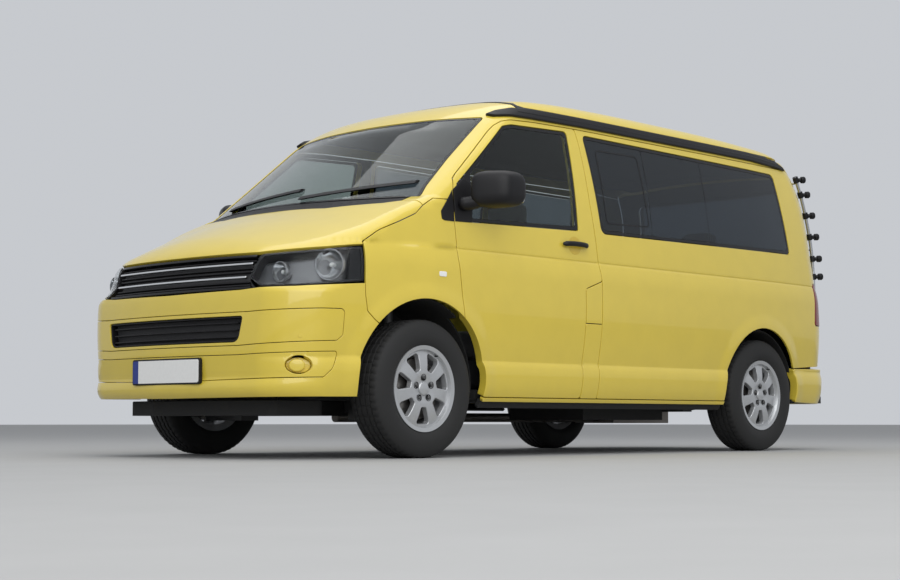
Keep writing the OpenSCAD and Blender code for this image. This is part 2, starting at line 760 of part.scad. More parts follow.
module door() {
    difference() {
        union() {
            difference() {
                intersection() {
                    skin(0, wall);
                    side_prism(half_y, out_y) shut_moving() polygon(door_pts);
                }
                arches(0, out_y);
                side_prism(glass_in_y, out_y) polygon(door_window_pts);
            }
            for (z = door_hinge_z) translate([door_hinge[0], door_hinge[1], z - strap_h / 2]) {
                cylinder(d = small_pin_d + 2 * eye_wall, h = strap_h);
                translate([-strap_l, -small_pin_d / 2, 0]) cube([strap_l, small_pin_d, strap_h]);
            }
        }
        for (z = door_hinge_z) translate([door_hinge[0], door_hinge[1], z - strap_h])
            cylinder(d = small_pin_d + 2 * run_gap, h = 2 * strap_h);
    }
}
module door_left() {
    color([0.9, 0.62, 0.05]) door();
}
module door_glass_left() {
    color([0.15, 0.18, 0.18, 0.6]) pane(door_window_pts);
}
module mirror_body() {
    intersection() {
        translate([nx - 1330, hw - 14, 1274]) cube([200, mirror_reach + 14, 178]);
        translate([nx - 1310, hw + 110, 1362]) rotate([0, 90, 0]) cylinder(r = 112, h = 260, center = true);
    }
    translate([nx - 1240, hw - 32, 1268]) cube([90, 60, 60]);
}
module mirror_left() {
    color([0.05, 0.05, 0.05]) difference() {
        mirror_body();
        skin(-seat, wall);
    }
}
module door_right() {
    mirror([0, 1, 0]) door_left();
}
module door_glass_right() {
    mirror([0, 1, 0]) door_glass_left();
}
module mirror_right() {
    mirror([0, 1, 0]) mirror_left();
}

// Wheels and what carries them
module knuckle() {
    color([0.16, 0.16, 0.16]) translate([fx, king_y, axle_z]) difference() {
        union() {
            translate([-45, -32, -108]) cube([90, 54, 216]);
            translate([0, king_off + 30, 0]) rotate([90, 0, 0]) cylinder(d = stub_d, h = king_off + 30);
        }
        translate([0, 0, -120]) cylinder(d = king_d + 2 * run_gap, h = 60);
        translate([0, 0, 60]) cylinder(d = king_d + 2 * run_gap, h = 60);
    }
}
module knuckle_left() {
    knuckle();
}
module knuckle_right() {
    mirror([0, 1, 0]) knuckle();
}
module tyre() {
    r0 = rim_d / 2;
    r1 = tyre_d / 2;
    w = tyre_w / 2;
    b = rim_w / 2;
    color([0.03, 0.03, 0.03]) rotate([-90, 0, 0]) rotate_extrude() polygon([[r0 - 14.7, -b + 13.4],
        [r0 + 0.6, -b + 11.4], [r0 + 0.6, -b - 0.5], [r1 - 70, -w], [r1 - 44, -w + 4], [r1 - 14, -w + 20],
        [r1 - 4, -w + 44], [r1, -30], [r1, 30], [r1 - 4, w - 44], [r1 - 14, w - 20], [r1 - 44, w - 4], [r1 - 70, w],
        [r0 + 0.6, b + 0.5], [r0 + 0.6, b - 11.4], [r0 - 14.7, b - 13.4]]);
}
module rim() {
    r = rim_d / 2;
    b = rim_w / 2;
    color([0.7, 0.7, 0.72]) rotate([-90, 0, 0]) difference() {
        union() {
            rotate_extrude() polygon([[r - 15, b - 13], [r, b - 11], [r, b], [r - 16, b], [r - 24, b - 12],
                [r - 34, 10], [r - 34, -b + 20], [r - 20, -b], [r, -b], [r, -b + 11], [r - 15, -b + 13]]);
            intersection() {
                linear_extrude(b - 6) difference() {
                    circle(r = r - 20);
                    for (i = [0:spokes - 1]) rotate(i * 360 / spokes + 180 / spokes) polygon([[92, -14],
                        [r - 46, -56], [r - 34, 0], [r - 46, 56], [92, 14], [84, 0]]);
                }
                rotate_extrude() polygon([[0, 22], [96, 22], [r - 10, 46], [r - 10, b - 8], [96, b - 22],
                    [60, b - 26], [34, b - 14], [0, b - 14]]);
            }
            translate([0, 0, -14]) cylinder(r = 74, h = 40);
            translate([0, 0, -14]) cylinder(r = 150, h = 22);
        }
        translate([0, 0, -60]) cylinder(d = stub_d + 2 * run_gap, h = 60 + 30 + 6);
        for (i = [0:4]) rotate(i * 72) translate([bolt_circle / 2, 0, 52]) cylinder(d = bolt_d, h = 60);
    }
}
module at_wheel(x, s) {
    translate([x, s * ty, axle_z]) mirror([0, s < 0 ? 1 : 0, 0]) children();
}
module tyre_front_left() {
    at_wheel(fx, 1) tyre();
}
module rim_front_left() {
    at_wheel(fx, 1) rim();
}
module tyre_front_right() {
    at_wheel(fx, -1) tyre();
}
module rim_front_right() {
    at_wheel(fx, -1) rim();
}
module tyre_rear_left() {
    at_wheel(rx, 1) tyre();
}
module rim_rear_left() {
    at_wheel(rx, 1) rim();
}
module tyre_rear_right() {
    at_wheel(rx, -1) tyre();
}
module rim_rear_right() {
    at_wheel(rx, -1) rim();
}

floor_pan();
wheel_liners();
side_panel_left();
side_panel_right();
sliding_door();
fuel_flap();
upper_frame();
fenders();
front_bumper();
grilles();
headlamp_housings();
headlamp_lenses();
windscreen();
side_glass_left();
side_glass_right();
cowl();
wipers();
front_plate();
rear_bumper();
tail_lamps();
roof_rails();
dashboard();
steering_wheel();
front_seats();
rear_bench();
engine();
front_suspension();
rear_suspension();
exhaust();
fuel_tank();
bonnet();
pop_top();
tailgate();
tailgate_glass();
bike_rack();
door_left();
door_glass_left();
mirror_left();
door_right();
door_glass_right();
mirror_right();
knuckle_left();
knuckle_right();
tyre_front_left();
rim_front_left();
tyre_front_right();
rim_front_right();
tyre_rear_left();
rim_rear_left();
tyre_rear_right();
rim_rear_right();
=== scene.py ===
"""Camper van with a lifting roof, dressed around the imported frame. Metres, x forward, y left, z up."""

import math

import bmesh
import bpy
import numpy as np
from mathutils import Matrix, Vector
from mathutils.geometry import delaunay_2d_cdt


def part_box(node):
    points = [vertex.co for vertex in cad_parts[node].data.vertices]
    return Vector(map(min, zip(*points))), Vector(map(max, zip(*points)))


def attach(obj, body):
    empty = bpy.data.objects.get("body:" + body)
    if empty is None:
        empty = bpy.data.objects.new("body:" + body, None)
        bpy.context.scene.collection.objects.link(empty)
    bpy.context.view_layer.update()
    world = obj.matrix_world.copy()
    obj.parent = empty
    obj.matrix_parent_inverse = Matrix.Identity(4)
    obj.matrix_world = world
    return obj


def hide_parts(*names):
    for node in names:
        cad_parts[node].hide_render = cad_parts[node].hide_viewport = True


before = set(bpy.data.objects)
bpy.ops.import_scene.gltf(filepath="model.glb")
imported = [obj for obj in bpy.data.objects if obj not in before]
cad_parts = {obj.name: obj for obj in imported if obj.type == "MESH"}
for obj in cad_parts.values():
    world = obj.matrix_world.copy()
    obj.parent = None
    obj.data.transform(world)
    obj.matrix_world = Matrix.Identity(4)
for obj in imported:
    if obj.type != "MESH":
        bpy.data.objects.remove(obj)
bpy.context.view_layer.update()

# Sizes taken from the frame
HALF_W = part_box("side_panel_left")[1].y
NOSE_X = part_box("front_bumper")[1].x
TAIL_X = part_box("rear_bumper")[0].x
ROOF_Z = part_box("pop_top")[1].z
TYRE_LOW, TYRE_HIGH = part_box("tyre_front_left")
AXLE_Z = (TYRE_LOW.z + TYRE_HIGH.z) / 2
FRONT_X = (TYRE_LOW.x + TYRE_HIGH.x) / 2
REAR_X = (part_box("tyre_rear_left")[0].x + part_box("tyre_rear_left")[1].x) / 2

# Panel making: shut gap, rolled edge, thicknesses, spacing of edge points
SHUT = 0.0045
HEM = 0.0022
SKIN = 0.012
DOOR_SKIN = 0.045
STEP = 0.014
HEM_OUT, HEM_DOWN = 0.707, 0.293
BATCH = 2000

# Body lines
CREASE_Z = 1.052
LOW_CREASE_Z = 0.49
SILL_Z = 0.304
CANT_Z = 1.806
POP_Z = 1.882
BAND_X = 1.940
FRONT_ARCH = (FRONT_X, AXLE_Z + 0.023, 0.420)
REAR_ARCH = (REAR_X + 0.012, AXLE_Z + 0.002, 0.410)
POP_FRONT_X = 0.70
POP_REAR_X = -2.121
POP_SEAL, POP_SEAL_END = 0.022, -1.75
CREASE_STEPS = (-0.010, -0.004, 0, 0.004, 0.010)
CREASE_ROWS = [c + d for c in (CREASE_Z, LOW_CREASE_Z) for d in CREASE_STEPS]


def spline(points):
    """A smooth curve through (u, v) points, as a function of u."""
    points = np.array(sorted(points), float)
    u, v = points[:, 0], points[:, 1]
    slope = np.gradient(v, u)

    def curve(t):
        t = np.clip(np.asarray(t, float), u[0], u[-1])
        i = np.clip(np.searchsorted(u, t) - 1, 0, len(u) - 2)
        h = u[i + 1] - u[i]
        s = (t - u[i]) / h
        a = (1 + 2 * s) * (1 - s) ** 2 * v[i] + s * (1 - s) ** 2 * h * slope[i]
        return a + s * s * (3 - 2 * s) * v[i + 1] + s * s * (s - 1) * h * slope[i + 1]

    return curve


def smooth(t):
    t = np.clip(t, 0, 1)
    return t * t * (3 - 2 * t)


def roundmax(a, b, r):
    """Meeting of two half spaces with a rounded edge."""
    return np.minimum(-r, np.maximum(a, b)) + np.hypot(np.maximum(a + r, 0), np.maximum(b + r, 0))


# The body's lines: (place, distance from the widest, foremost, rearmost or highest line)
plan = spline(((-2.45, 0.085), (-2.2, 0.052), (-2.0, 0.032), (-1.6, 0.010), (-1.2, 0.002), (-0.6, 0),
               (0.6, 0), (1.2, 0.006), (1.545, 0.022), (1.93, 0.059), (2.2, 0.095), (2.45, 0.14)))
front_line = spline(((0.20, 0.12), (0.25, 0.06), (0.285, 0.028), (0.31, 0.008), (0.34, 0.0), (0.365, 0.004),
                     (0.385, 0.012), (0.42, 0.010), (0.50, 0.004), (0.60, 0.003), (0.70, 0.007),
                     (0.80, 0.017), (0.90, 0.052), (1.0, 0.092), (1.06, 0.141), (1.2, 0.321)))
hood_line = spline(((2.50, 0.97), (2.40, 1.02), (2.337, 1.046), (2.2, 1.11), (2.0, 1.19), (1.84, 1.248),
                    (1.715, 1.30), (1.6, 1.345), (1.4, 1.42)))
roof_line = spline(((1.055, 0.156), (0.96, 0.110), (0.80, 0.062), (0.64, 0.030), (0.39, 0.009), (0, 0),
                    (-0.55, 0), (-1.45, 0.016), (-1.89, 0.042), (-2.08, 0.072), (-2.2, 0.11)))
rear_line = spline(((0.25, 0.073), (0.33, 0.034), (0.42, 0.022), (0.54, 0.021), (0.60, 0.022),
                    (0.80, 0.027), (1.06, 0.056), (1.18, 0.081), (1.80, 0.236), (1.87, 0.291),
                    (1.95, 0.391)))
sill_line = spline(((0.20, 0.105), (0.25, 0.066), (0.285, 0.046), (0.33, 0.029), (0.39, 0.018),
                    (0.44, 0.016), (0.465, 0.019), (0.49, 0.029)))
hood_crown = spline(((1.4, 0.10), (1.62, 0.105), (1.9, 0.14), (2.2, 0.185), (2.5, 0.196)))
SCREEN_TILT = math.radians(38.2)
SCREEN_FOOT = (1.715, 1.312)
FRONT_CURVE = 7.0
NOSE_ROUND = (0.20, 0.33)
TAIL_ROUND = 0.27
NOSE_OUT = 0.006
NOSE_ROUND_Z, NOSE_ROUND_FADE = 0.79, 0.07
SCREEN_CURVE = 5.0
ROOF_CROWN, ROOF_EDGE_FALL = 0.050, 0.14
REAR_BOW = 0.09
HOOD_EDGE_R, SCREEN_EDGE_R, ROOF_EDGE_R = 0.045, 0.05, 0.08
LOWER_TOP_Z, UPPER_LOW_Z = 1.335, 1.20
SIDE_WIDEST_Z, SIDE_FALL = 0.85, 0.029
SHOULDER_Z, SHOULDER_FALL = 0.93, 1.2
GLASS_IN, GLASS_LEAN, GLASS_BOW = 0.0179, 0.030, 0.150
GROOVE_DEEP, GROOVE_WIDE = 0.003, 0.005
FLARE_RISE, FLARE_LIP, FLARE_FADE = 0.008, 0.012, 0.085


def section(z):
    """How far the side lies inside its widest line at height z, with a crease at two heights."""
    lower = SIDE_FALL * np.clip((SIDE_WIDEST_Z - z) / (SIDE_WIDEST_Z - LOW_CREASE_Z), 0, 1) ** 2
    shoulder = SHOULDER_FALL * np.clip(z - SHOULDER_Z, 0, None) ** 2
    rise = z - CREASE_Z
    above = GLASS_IN + GLASS_LEAN * rise + GLASS_BOW * np.clip(rise, 0, None) ** 2
    body = np.where(z < LOW_CREASE_Z, sill_line(z), lower + shoulder)
    groove = GROOVE_DEEP * np.exp(-((rise / GROOVE_WIDE) ** 2))
    return np.where(z > CREASE_Z, above, np.minimum(body, 0.3)) + groove


def flare(x, z):
    """The raised lip round the wheel arches."""
    rise = 0
    for cx, cz, r in (FRONT_ARCH, REAR_ARCH):
        d = np.hypot(x - cx, z - cz) - r
        rise = rise + FLARE_RISE * (1 - smooth((d - FLARE_LIP) / FLARE_FADE))
    return rise


def field(p):
    """Negative inside the body, nought on its outer surface."""
    x, y, z = p[..., 0], np.abs(p[..., 1]), p[..., 2]
    side = y - (HALF_W - plan(x) - section(z) + flare(x, z))
    front = x - (NOSE_X + NOSE_OUT - front_line(z) - y * y / FRONT_CURVE)
    hood = z - (hood_line(x) - hood_crown(x) * y * y)
    fall_x, fall_z = x - SCREEN_FOOT[0], z - SCREEN_FOOT[1]
    screen = math.sin(SCREEN_TILT) * fall_x + math.cos(SCREEN_TILT) * fall_z + y * y / SCREEN_CURVE
    roof = z - (ROOF_Z - roof_line(x) - ROOF_CROWN * y**2 - ROOF_EDGE_FALL * y**8)
    rear = TAIL_X + rear_line(z) + REAR_BOW * y * y - x
    wall = roundmax(side, rear, TAIL_ROUND)
    low_round, high_round = NOSE_ROUND
    nose_round = low_round + (high_round - low_round) * smooth((z - NOSE_ROUND_Z) / NOSE_ROUND_FADE)
    lower = roundmax(roundmax(wall, front, nose_round), hood, HOOD_EDGE_R)
    lower = np.maximum(lower, z - LOWER_TOP_Z)
    upper = roundmax(roundmax(wall, screen, SCREEN_EDGE_R), roof, ROOF_EDGE_R)
    upper = np.maximum(upper, UPPER_LOW_Z - z)
    return np.minimum(lower, upper)


def slope_normals(points, h=0.0015):
    """The body surface's own direction at points on it."""
    grad = np.empty_like(points)
    for axis in range(3):
        step = np.zeros(3)
        step[axis] = h
        grad[:, axis] = field(points + step) - field(points - step)
    return grad / np.linalg.norm(grad, axis=1, keepdims=True)


def hit(origin, direction, reach=3.0):
    """Where rays that start inside the body leave it."""
    near, far = np.zeros(len(origin)), np.full(len(origin), reach)
    for _ in range(44):
        mid = (near + far) / 2
        inside = field(origin + mid[:, None] * direction) < 0
        near, far = np.where(inside, mid, near), np.where(inside, far, mid)
    return origin + near[:, None] * direction


class OnBody:
    """A shape that lies on the body's outer surface."""

    normals = staticmethod(slope_normals)


class Around(OnBody):
    """Unrolls the sides, nose and tail: u runs round from the front or rear middle, v is height."""

    nose_c, nose_r = (1.93, 0.45), 0.45
    tail_c, tail_r = (-2.19, 0.66), 0.24

    def __init__(self, middle="front"):
        self.front = middle == "front"
        nose_end = self.nose_c[1] + math.pi / 2 * self.nose_r
        side_end = nose_end + self.nose_c[0] - self.tail_c[0]
        tail_end = side_end + math.pi / 2 * self.tail_r
        self.marks = (self.nose_c[1], nose_end, side_end, tail_end)
        self.total = tail_end + self.tail_c[1]

    def flatten(self, p):
        a, b, c, d = self.marks
        x, y = p[:, 0], np.abs(p[:, 1])
        s = b + self.nose_c[0] - x
        nose = x > self.nose_c[0]
        turn = np.arctan2(x - self.nose_c[0], np.maximum(y - self.nose_c[1], 1e-9))
        s = np.where(nose, b - turn * self.nose_r, s)
        s = np.where(nose & (y < self.nose_c[1]), y, s)
        tail = x < self.tail_c[0]
        turn = np.arctan2(self.tail_c[0] - x, np.maximum(y - self.tail_c[1], 1e-9))
        s = np.where(tail, c + turn * self.tail_r, s)
        s = np.where(tail & (y < self.tail_c[1]), d + self.tail_c[1] - y, s)
        if not self.front:
            s = self.total - s
        return np.column_stack((s * np.where(p[:, 1] < 0, -1, 1), p[:, 2]))

    def lift(self, uv):
        a, b, c, d = self.marks
        s = np.abs(uv[:, 0])
        if not self.front:
            s = self.total - s
        turn = (b - s) / self.nose_r
        back = (s - c) / self.tail_r
        zero = np.zeros(len(s))
        ranks = (
            (s < a, (zero + self.nose_c[0], s), (zero + 1, zero)),
            (s < b, (zero + self.nose_c[0], zero + self.nose_c[1]), (np.sin(turn), np.cos(turn))),
            (s < c, (b + self.nose_c[0] - s, zero + 0.2), (zero, zero + 1)),
            (s < d, (zero + self.tail_c[0], zero + self.tail_c[1]), (-np.sin(back), np.cos(back))),
            (s >= d, (zero + self.tail_c[0], d + self.tail_c[1] - s), (zero - 1, zero)),
        )
        origin, direction = np.zeros((len(s), 3)), np.zeros((len(s), 3))
        left = np.ones(len(s), bool)
        for test, start, way in ranks:
            now = left & test
            for k in range(2):
                origin[now, k] = start[k][now]
                direction[now, k] = way[k][now]
            left &= ~test
        sign = np.where(uv[:, 0] < 0, -1, 1)
        origin[:, 1] *= sign
        direction[:, 1] *= sign
        origin[:, 2] = uv[:, 1]
        return hit(origin, direction)


class Along(OnBody):
    """Unrolls the body about an axis along x: u is x, v the angle from straight up times a nominal radius."""

    def __init__(self, y, z, radius):
        self.y, self.z, self.radius = y, z, radius

    def flatten(self, p):
        return np.column_stack((p[:, 0], np.arctan2(p[:, 1] - self.y, p[:, 2] - self.z) * self.radius))

    def lift(self, uv):
        a = uv[:, 1] / self.radius
        origin = np.column_stack((uv[:, 0], np.full(len(a), self.y), np.full(len(a), self.z)))
        return hit(origin, np.column_stack((np.zeros(len(a)), np.sin(a), np.cos(a))))


class From(OnBody):
    """Sees the body from a point inside it, along an axis at some angle above forward."""

    def __init__(self, x, z, up):
        self.c = np.array((x, 0.0, z))
        a = math.radians(up)
        self.axes = np.array(((0, 1, 0), (-math.sin(a), 0, math.cos(a)), (math.cos(a), 0, math.sin(a))))

    def flatten(self, p):
        q = (p - self.c) @ self.axes.T
        return q[:, :2] / q[:, 2:]

    def lift(self, uv):
        way = np.column_stack((uv, np.ones(len(uv)))) @ self.axes
        return hit(np.tile(self.c, (len(uv), 1)), way / np.linalg.norm(way, axis=1, keepdims=True))


class Facing(OnBody):
    """Sees the body along x, from a plane inside it: u is y, v is z."""

    def __init__(self, x, way):
        self.x, self.way = x, way

    def flatten(self, p):
        return p[:, 1:]

    def lift(self, uv):
        origin = np.column_stack((np.full(len(uv), self.x), uv))
        return hit(origin, np.tile((float(self.way), 0.0, 0.0), (len(uv), 1)))


AROUND = Around()
BEHIND = Around("rear")
LOFT = Along(0.0, 0.6, 1.2)
WING = {1: Along(0.45, 0.78, 0.45), -1: Along(-0.45, 0.78, 0.45)}
HOOD = From(1.55, 0.60, 50)
SCREEN = Facing(0.80, 1)
TAIL = Facing(-1.9, -1)


def densify(points, step=STEP, closed=True):
    """Adds points so that no stretch is longer than step."""
    points = np.asarray(points, float)
    ends = np.roll(points, -1, 0) if closed else points[1:]
    out = []
    for a, b in zip(points, ends):
        n = max(1, math.ceil(np.linalg.norm(b - a) / step))
        out.extend(a + (b - a) * k / n for k in range(n))
    if not closed:
        out.append(points[-1])
    return np.array(out)


def rounded(points, radius, closed=True):
    """A polygon with its corners turned into arcs; radius is one number or one for each corner."""
    points = np.asarray(points, float)
    n = len(points)
    radii = np.broadcast_to(radius, n)
    out = []
    for i in range(n):
        p, r = points[i], radii[i]
        if r <= 0 or (not closed and i in (0, n - 1)):
            out.append(p)
            continue
        a, b = points[i - 1] - p, points[(i + 1) % n] - p
        la, lb = np.linalg.norm(a), np.linalg.norm(b)
        a, b = a / la, b / lb
        half = math.acos(np.clip(a @ b, -1, 1)) / 2
        if half > 1.53:
            out.append(p)
            continue
        reach = min(r / math.tan(half), 0.49 * la, 0.49 * lb)
        r = reach * math.tan(half)
        mid = (a + b) / np.linalg.norm(a + b)
        centre = p + mid * r / math.sin(half)
        start, end = p + a * reach - centre, p + b * reach - centre
        sweep = math.pi - 2 * half
        count = max(3, int(sweep / 0.2))
        for k in range(count + 1):
            t = k / count
            w0, w1 = math.sin((1 - t) * sweep) / math.sin(sweep), math.sin(t * sweep) / math.sin(sweep)
            out.append(centre + start * w0 + end * w1)
    return np.array(out)


def box(u0, u1, v0, v1):
    """The corners of an upright rectangle in flat coordinates."""
    return [(u1, v1), (u0, v1), (u0, v0), (u1, v0)]


def arc(centre, r, start, end, n=24):
    """Points on a circle in (x, z), angles in degrees from forward."""
    a = np.radians(np.linspace(start, end, n))
    return np.column_stack((centre[0] + r * np.cos(a), centre[1] + r * np.sin(a)))


def at_height(c, z, way):
    """The angle at which a wheel arch meets a height, ahead of (1) or behind (-1) the wheel."""
    a = math.degrees(math.asin((z - c[1]) / c[2]))
    return a if way > 0 else 180 - a


def mirrored(points, side):
    return np.asarray(points) * (1, side, 1)


def side_points(xz, side=1):
    """Points of the side view, put on the body's side."""
    xz = np.asarray(xz, float)
    return mirrored(AROUND.lift(np.column_stack((u_side(xz[:, 0]), xz[:, 1]))), side)


def wing_points(xa, side=1):
    """Points on the shoulder of the front wings: x, and the angle from straight up in degrees."""
    xa = np.asarray(xa, float)
    w = WING[1]
    return mirrored(w.lift(np.column_stack((xa[:, 0], np.radians(xa[:, 1]) * w.radius))), side)


def inside(points, loops):
    """Even-odd test of points against closed loops."""
    odd = np.zeros(len(points), bool)
    x, y = points[:, 0], points[:, 1]
    for loop in loops:
        for (x0, y0), (x1, y1) in zip(loop, np.roll(loop, -1, 0)):
            if y0 == y1:
                continue
            cross = (y0 > y) != (y1 > y)
            odd ^= cross & (x < (x1 - x0) * (y - y0) / (y1 - y0) + x0)
    return odd


def thinned(loop, least=0.0035):
    """A loop without points that lie closer than least to the one kept before."""
    kept = [loop[0]]
    for p in loop[1:]:
        if np.linalg.norm(p - kept[-1]) > least:
            kept.append(p)
    if np.linalg.norm(kept[-1] - kept[0]) < least:
        kept.pop()
    return np.array(kept)


def away(loop, normals):
    """The direction away from the panel at each point of its edge, lengthened at corners."""
    before = loop - np.roll(loop, 1, 0)
    after = np.roll(loop, -1, 0) - loop
    before /= np.linalg.norm(before, axis=1, keepdims=True) + 1e-12
    after /= np.linalg.norm(after, axis=1, keepdims=True) + 1e-12
    way = before + after
    way /= np.linalg.norm(way, axis=1, keepdims=True) + 1e-12
    bend = np.clip(np.sum(way * after, axis=1), 0.5, 1)
    out = np.cross(way, normals)
    out /= np.linalg.norm(out, axis=1, keepdims=True) + 1e-12
    return out / bend[:, None]


def make_mesh(name, verts, faces, normals=None):
    """A mesh object; normals are given for each corner of each face."""
    mesh = bpy.data.meshes.new(name)
    mesh.from_pydata([tuple(v) for v in verts], [], faces)
    mesh.update()
    piece = bpy.data.objects.new(name, mesh)
    bpy.context.collection.objects.link(piece)
    if normals is not None:
        mesh.shade_smooth()
        mesh.normals_split_custom_set(normals)
    return piece


def finish_piece(piece, body, surface, replaces=()):
    """Gives a piece its material, and the CAD body and nodes it stands for."""
    piece.data.materials.append(surface)
    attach(piece, body)
    if replaces:
        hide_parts(*([replaces] if isinstance(replaces, str) else replaces))
    return piece


def oriented(loop, shape, left=True):
    """A dense loop and its normals, turning left in the flat, or else right."""
    loop = densify(loop)
    u, v = shape.flatten(loop).T
    area = np.sum(u * np.roll(v, -1) - v * np.roll(u, -1))
    if (area < 0) == left:
        loop = loop[::-1]
    return loop, shape.normals(loop)


def fill_points(flats, scale, grid, rows):
    """The points of a grid that lie between the edges and not too near them."""
    low, high, edge = flats[0].min(0), flats[0].max(0), np.vstack(flats)
    us = np.arange(low[0], high[0], grid / scale[0])
    extra = [r for r in rows if low[1] < r < high[1]]
    vs = np.union1d(np.arange(low[1], high[1], grid / scale[1]), extra)
    points = np.array([(u, v) for v in vs for u in us])
    points = points[inside(points, flats)]
    near = np.empty(len(points))
    for k in range(0, len(points), BATCH):
        d = (points[k:k + BATCH, None] - edge[None]) * scale
        near[k:k + BATCH] = np.sqrt((d**2).sum(2)).min(1)
    return points[near > 0.5 * STEP]


def triangulate(name, flats, inner, scale):
    """All points of a panel in the flat, edges first, and the triangles between its edges."""
    uv = np.vstack((*flats, inner))
    edges, first = [], 0
    for count in map(len, flats):
        edges.extend((first + i, first + (i + 1) % count) for i in range(count))
        first += count
    got, _, tris, origin, _, _ = delaunay_2d_cdt([Vector(p) for p in uv * scale], edges, [], 0, 1e-7)
    if len(got) != len(uv):
        raise ValueError(f"{name}: the outline crosses itself ({len(got)} points from {len(uv)})")
    index = [o[0] for o in origin]
    tris = np.array([[index[i] for i in t] for t in tris])
    return uv, tris[inside(uv[tris].mean(1), flats)]


def rolled(top, n, tris, counts, flip, hem, depth):
    """Points, faces and corner normals of a skin with rolled edges and a back."""
    m = sum(counts)
    starts = [sum(counts[:k]) for k in range(len(counts))]
    out = np.vstack([away(top[s:s + k], n[s:s + k]) * flip for s, k in zip(starts, counts)])
    up = n[:m]
    unit = out / (np.linalg.norm(out, axis=1, keepdims=True) + 1e-12)
    bend = (up + unit) / math.sqrt(2)
    base = top - n * depth
    base[:m] += out * hem
    turn = top[:m] + out * hem * HEM_OUT - up * hem * HEM_DOWN
    verts = np.vstack((top, turn, top[:m] + out * hem - up * hem, base))
    first, second, back = len(top), len(top) + m, len(top) + 2 * m
    bands = ((0, first, n, bend), (first, second, bend, unit), (second, back, unit, unit))
    faces = [tuple(t) for t in tris]
    corners = [n[i] for t in tris for i in t]
    order = (0, 1, 2, 3) if flip > 0 else (3, 2, 1, 0)
    for s, k in zip(starts, counts):
        for i in range(k):
            a, b = s + i, s + (i + 1) % k
            for high, low, n_high, n_low in bands:
                quad = (high + a, low + a, low + b, high + b)
                norms = (n_high[a], n_low[a], n_low[b], n_high[b])
                faces.append(tuple(quad[j] for j in order))
                corners.extend(norms[j] for j in order)
    faces.extend(tuple(back + i for i in t[::-1]) for t in tris)
    corners.extend(-n[i] for t in tris for i in t[::-1])
    return verts, faces, [tuple(c) for c in corners]


def panel(name, outline, surface, replaces=(), holes=(), body="van_body", shape=AROUND, gap=SHUT,
          depth=SKIN, hem=HEM, sink=0.0, grid=0.022, rows=(), closed_back=None, slot=None):
    """A closed skin cut from a shape by loops, with a rolled edge. A sink sets it below the shape."""
    loops = [oriented(loop, shape, k == 0) for k, loop in enumerate((outline, *holes))]
    flip = orientation(shape, loops[0])
    flats = [shape.flatten(thinned(loop - away(loop, n) * flip * (gap / 2 + hem))) for loop, n in loops]
    scale = metric(shape, flats[0])
    uv, tris = triangulate(name, flats, fill_points(flats, scale, grid, rows), scale)
    top = shape.lift(uv)
    n = shape.normals(top)
    facing = np.cross(top[tris[:, 1]] - top[tris[:, 0]], top[tris[:, 2]] - top[tris[:, 0]])
    if np.sum(facing * n[tris[:, 0]]) < 0:
        tris = tris[:, ::-1]
    top = top - n * (sink(top)[:, None] if callable(sink) else sink)
    piece = make_mesh(name, *rolled(top, n, tris, [len(flat) for flat in flats], flip, hem, depth))
    finish_piece(piece, body, surface, replaces)
    if closed_back is not None:
        piece.data.materials.append(closed_back)
        for poly in piece.data.polygons[-len(tris):]:
            poly.material_index = 1
    return piece


def orientation(shape, loop):
    """1 where a turn to the left in the flat is a turn to the left seen from outside, else -1."""
    points, n = loop
    mid = len(points) // 2
    p = points[mid]
    flat = shape.flatten(p[None])[0]
    h = 0.004
    lifted = shape.lift(np.array((flat, flat + (h, 0), flat + (0, h))))
    normal = np.cross(lifted[1] - lifted[0], lifted[2] - lifted[0])
    return 1.0 if normal @ n[mid] > 0 else -1.0


def metric(shape, flat):
    """Metres for each unit of u and of v, near a loop's middle."""
    mid = flat.mean(0)
    h = 0.01
    p = shape.lift(np.array((mid, mid + (h, 0), mid + (0, h))))
    return np.clip(np.linalg.norm(p[1:] - p[0], axis=1) / h, 0.3, 1.6)


def material(name, colour, roughness=0.5, metallic=0.0, coat=0.0, vary=0.06, scale=60.0, bump=0.0, **extra):
    """A Principled material whose colour and roughness shift a little with noise."""
    made = bpy.data.materials.new(name)
    made.use_nodes = True
    tree = made.node_tree
    shader = tree.nodes["Principled BSDF"]
    coords = tree.nodes.new("ShaderNodeTexCoord")
    noise = tree.nodes.new("ShaderNodeTexNoise")
    noise.inputs["Scale"].default_value = scale
    noise.inputs["Detail"].default_value = 4
    tree.links.new(coords.outputs["Object"], noise.inputs["Vector"])
    ramp = tree.nodes.new("ShaderNodeValToRGB")
    for element, k in zip(ramp.color_ramp.elements, (1 - vary, 1 + vary)):
        element.color = (*(min(1, c * k) for c in colour), 1)
    ramp.color_ramp.elements[0].position = 0.3
    ramp.color_ramp.elements[1].position = 0.7
    tree.links.new(noise.outputs["Fac"], ramp.inputs["Fac"])
    tree.links.new(ramp.outputs["Color"], shader.inputs["Base Color"])
    spread = tree.nodes.new("ShaderNodeMapRange")
    spread.inputs["To Min"].default_value = max(0, roughness * (1 - 2 * vary))
    spread.inputs["To Max"].default_value = min(1, roughness * (1 + 2 * vary))
    tree.links.new(noise.outputs["Fac"], spread.inputs["Value"])
    tree.links.new(spread.outputs["Result"], shader.inputs["Roughness"])
    shader.inputs["Metallic"].default_value = metallic
    shader.inputs["Coat Weight"].default_value = coat
    shader.inputs["Coat Roughness"].default_value = 0.04
    for socket, value in extra.items():
        shader.inputs[socket.replace("_", " ")].default_value = value
    if bump:
        lumps = tree.nodes.new("ShaderNodeBump")
        lumps.inputs["Strength"].default_value = bump
        lumps.inputs["Distance"].default_value = 0.001
        tree.links.new(noise.outputs["Fac"], lumps.inputs["Height"])
        tree.links.new(lumps.outputs["Normal"], shader.inputs["Normal"])
    return made


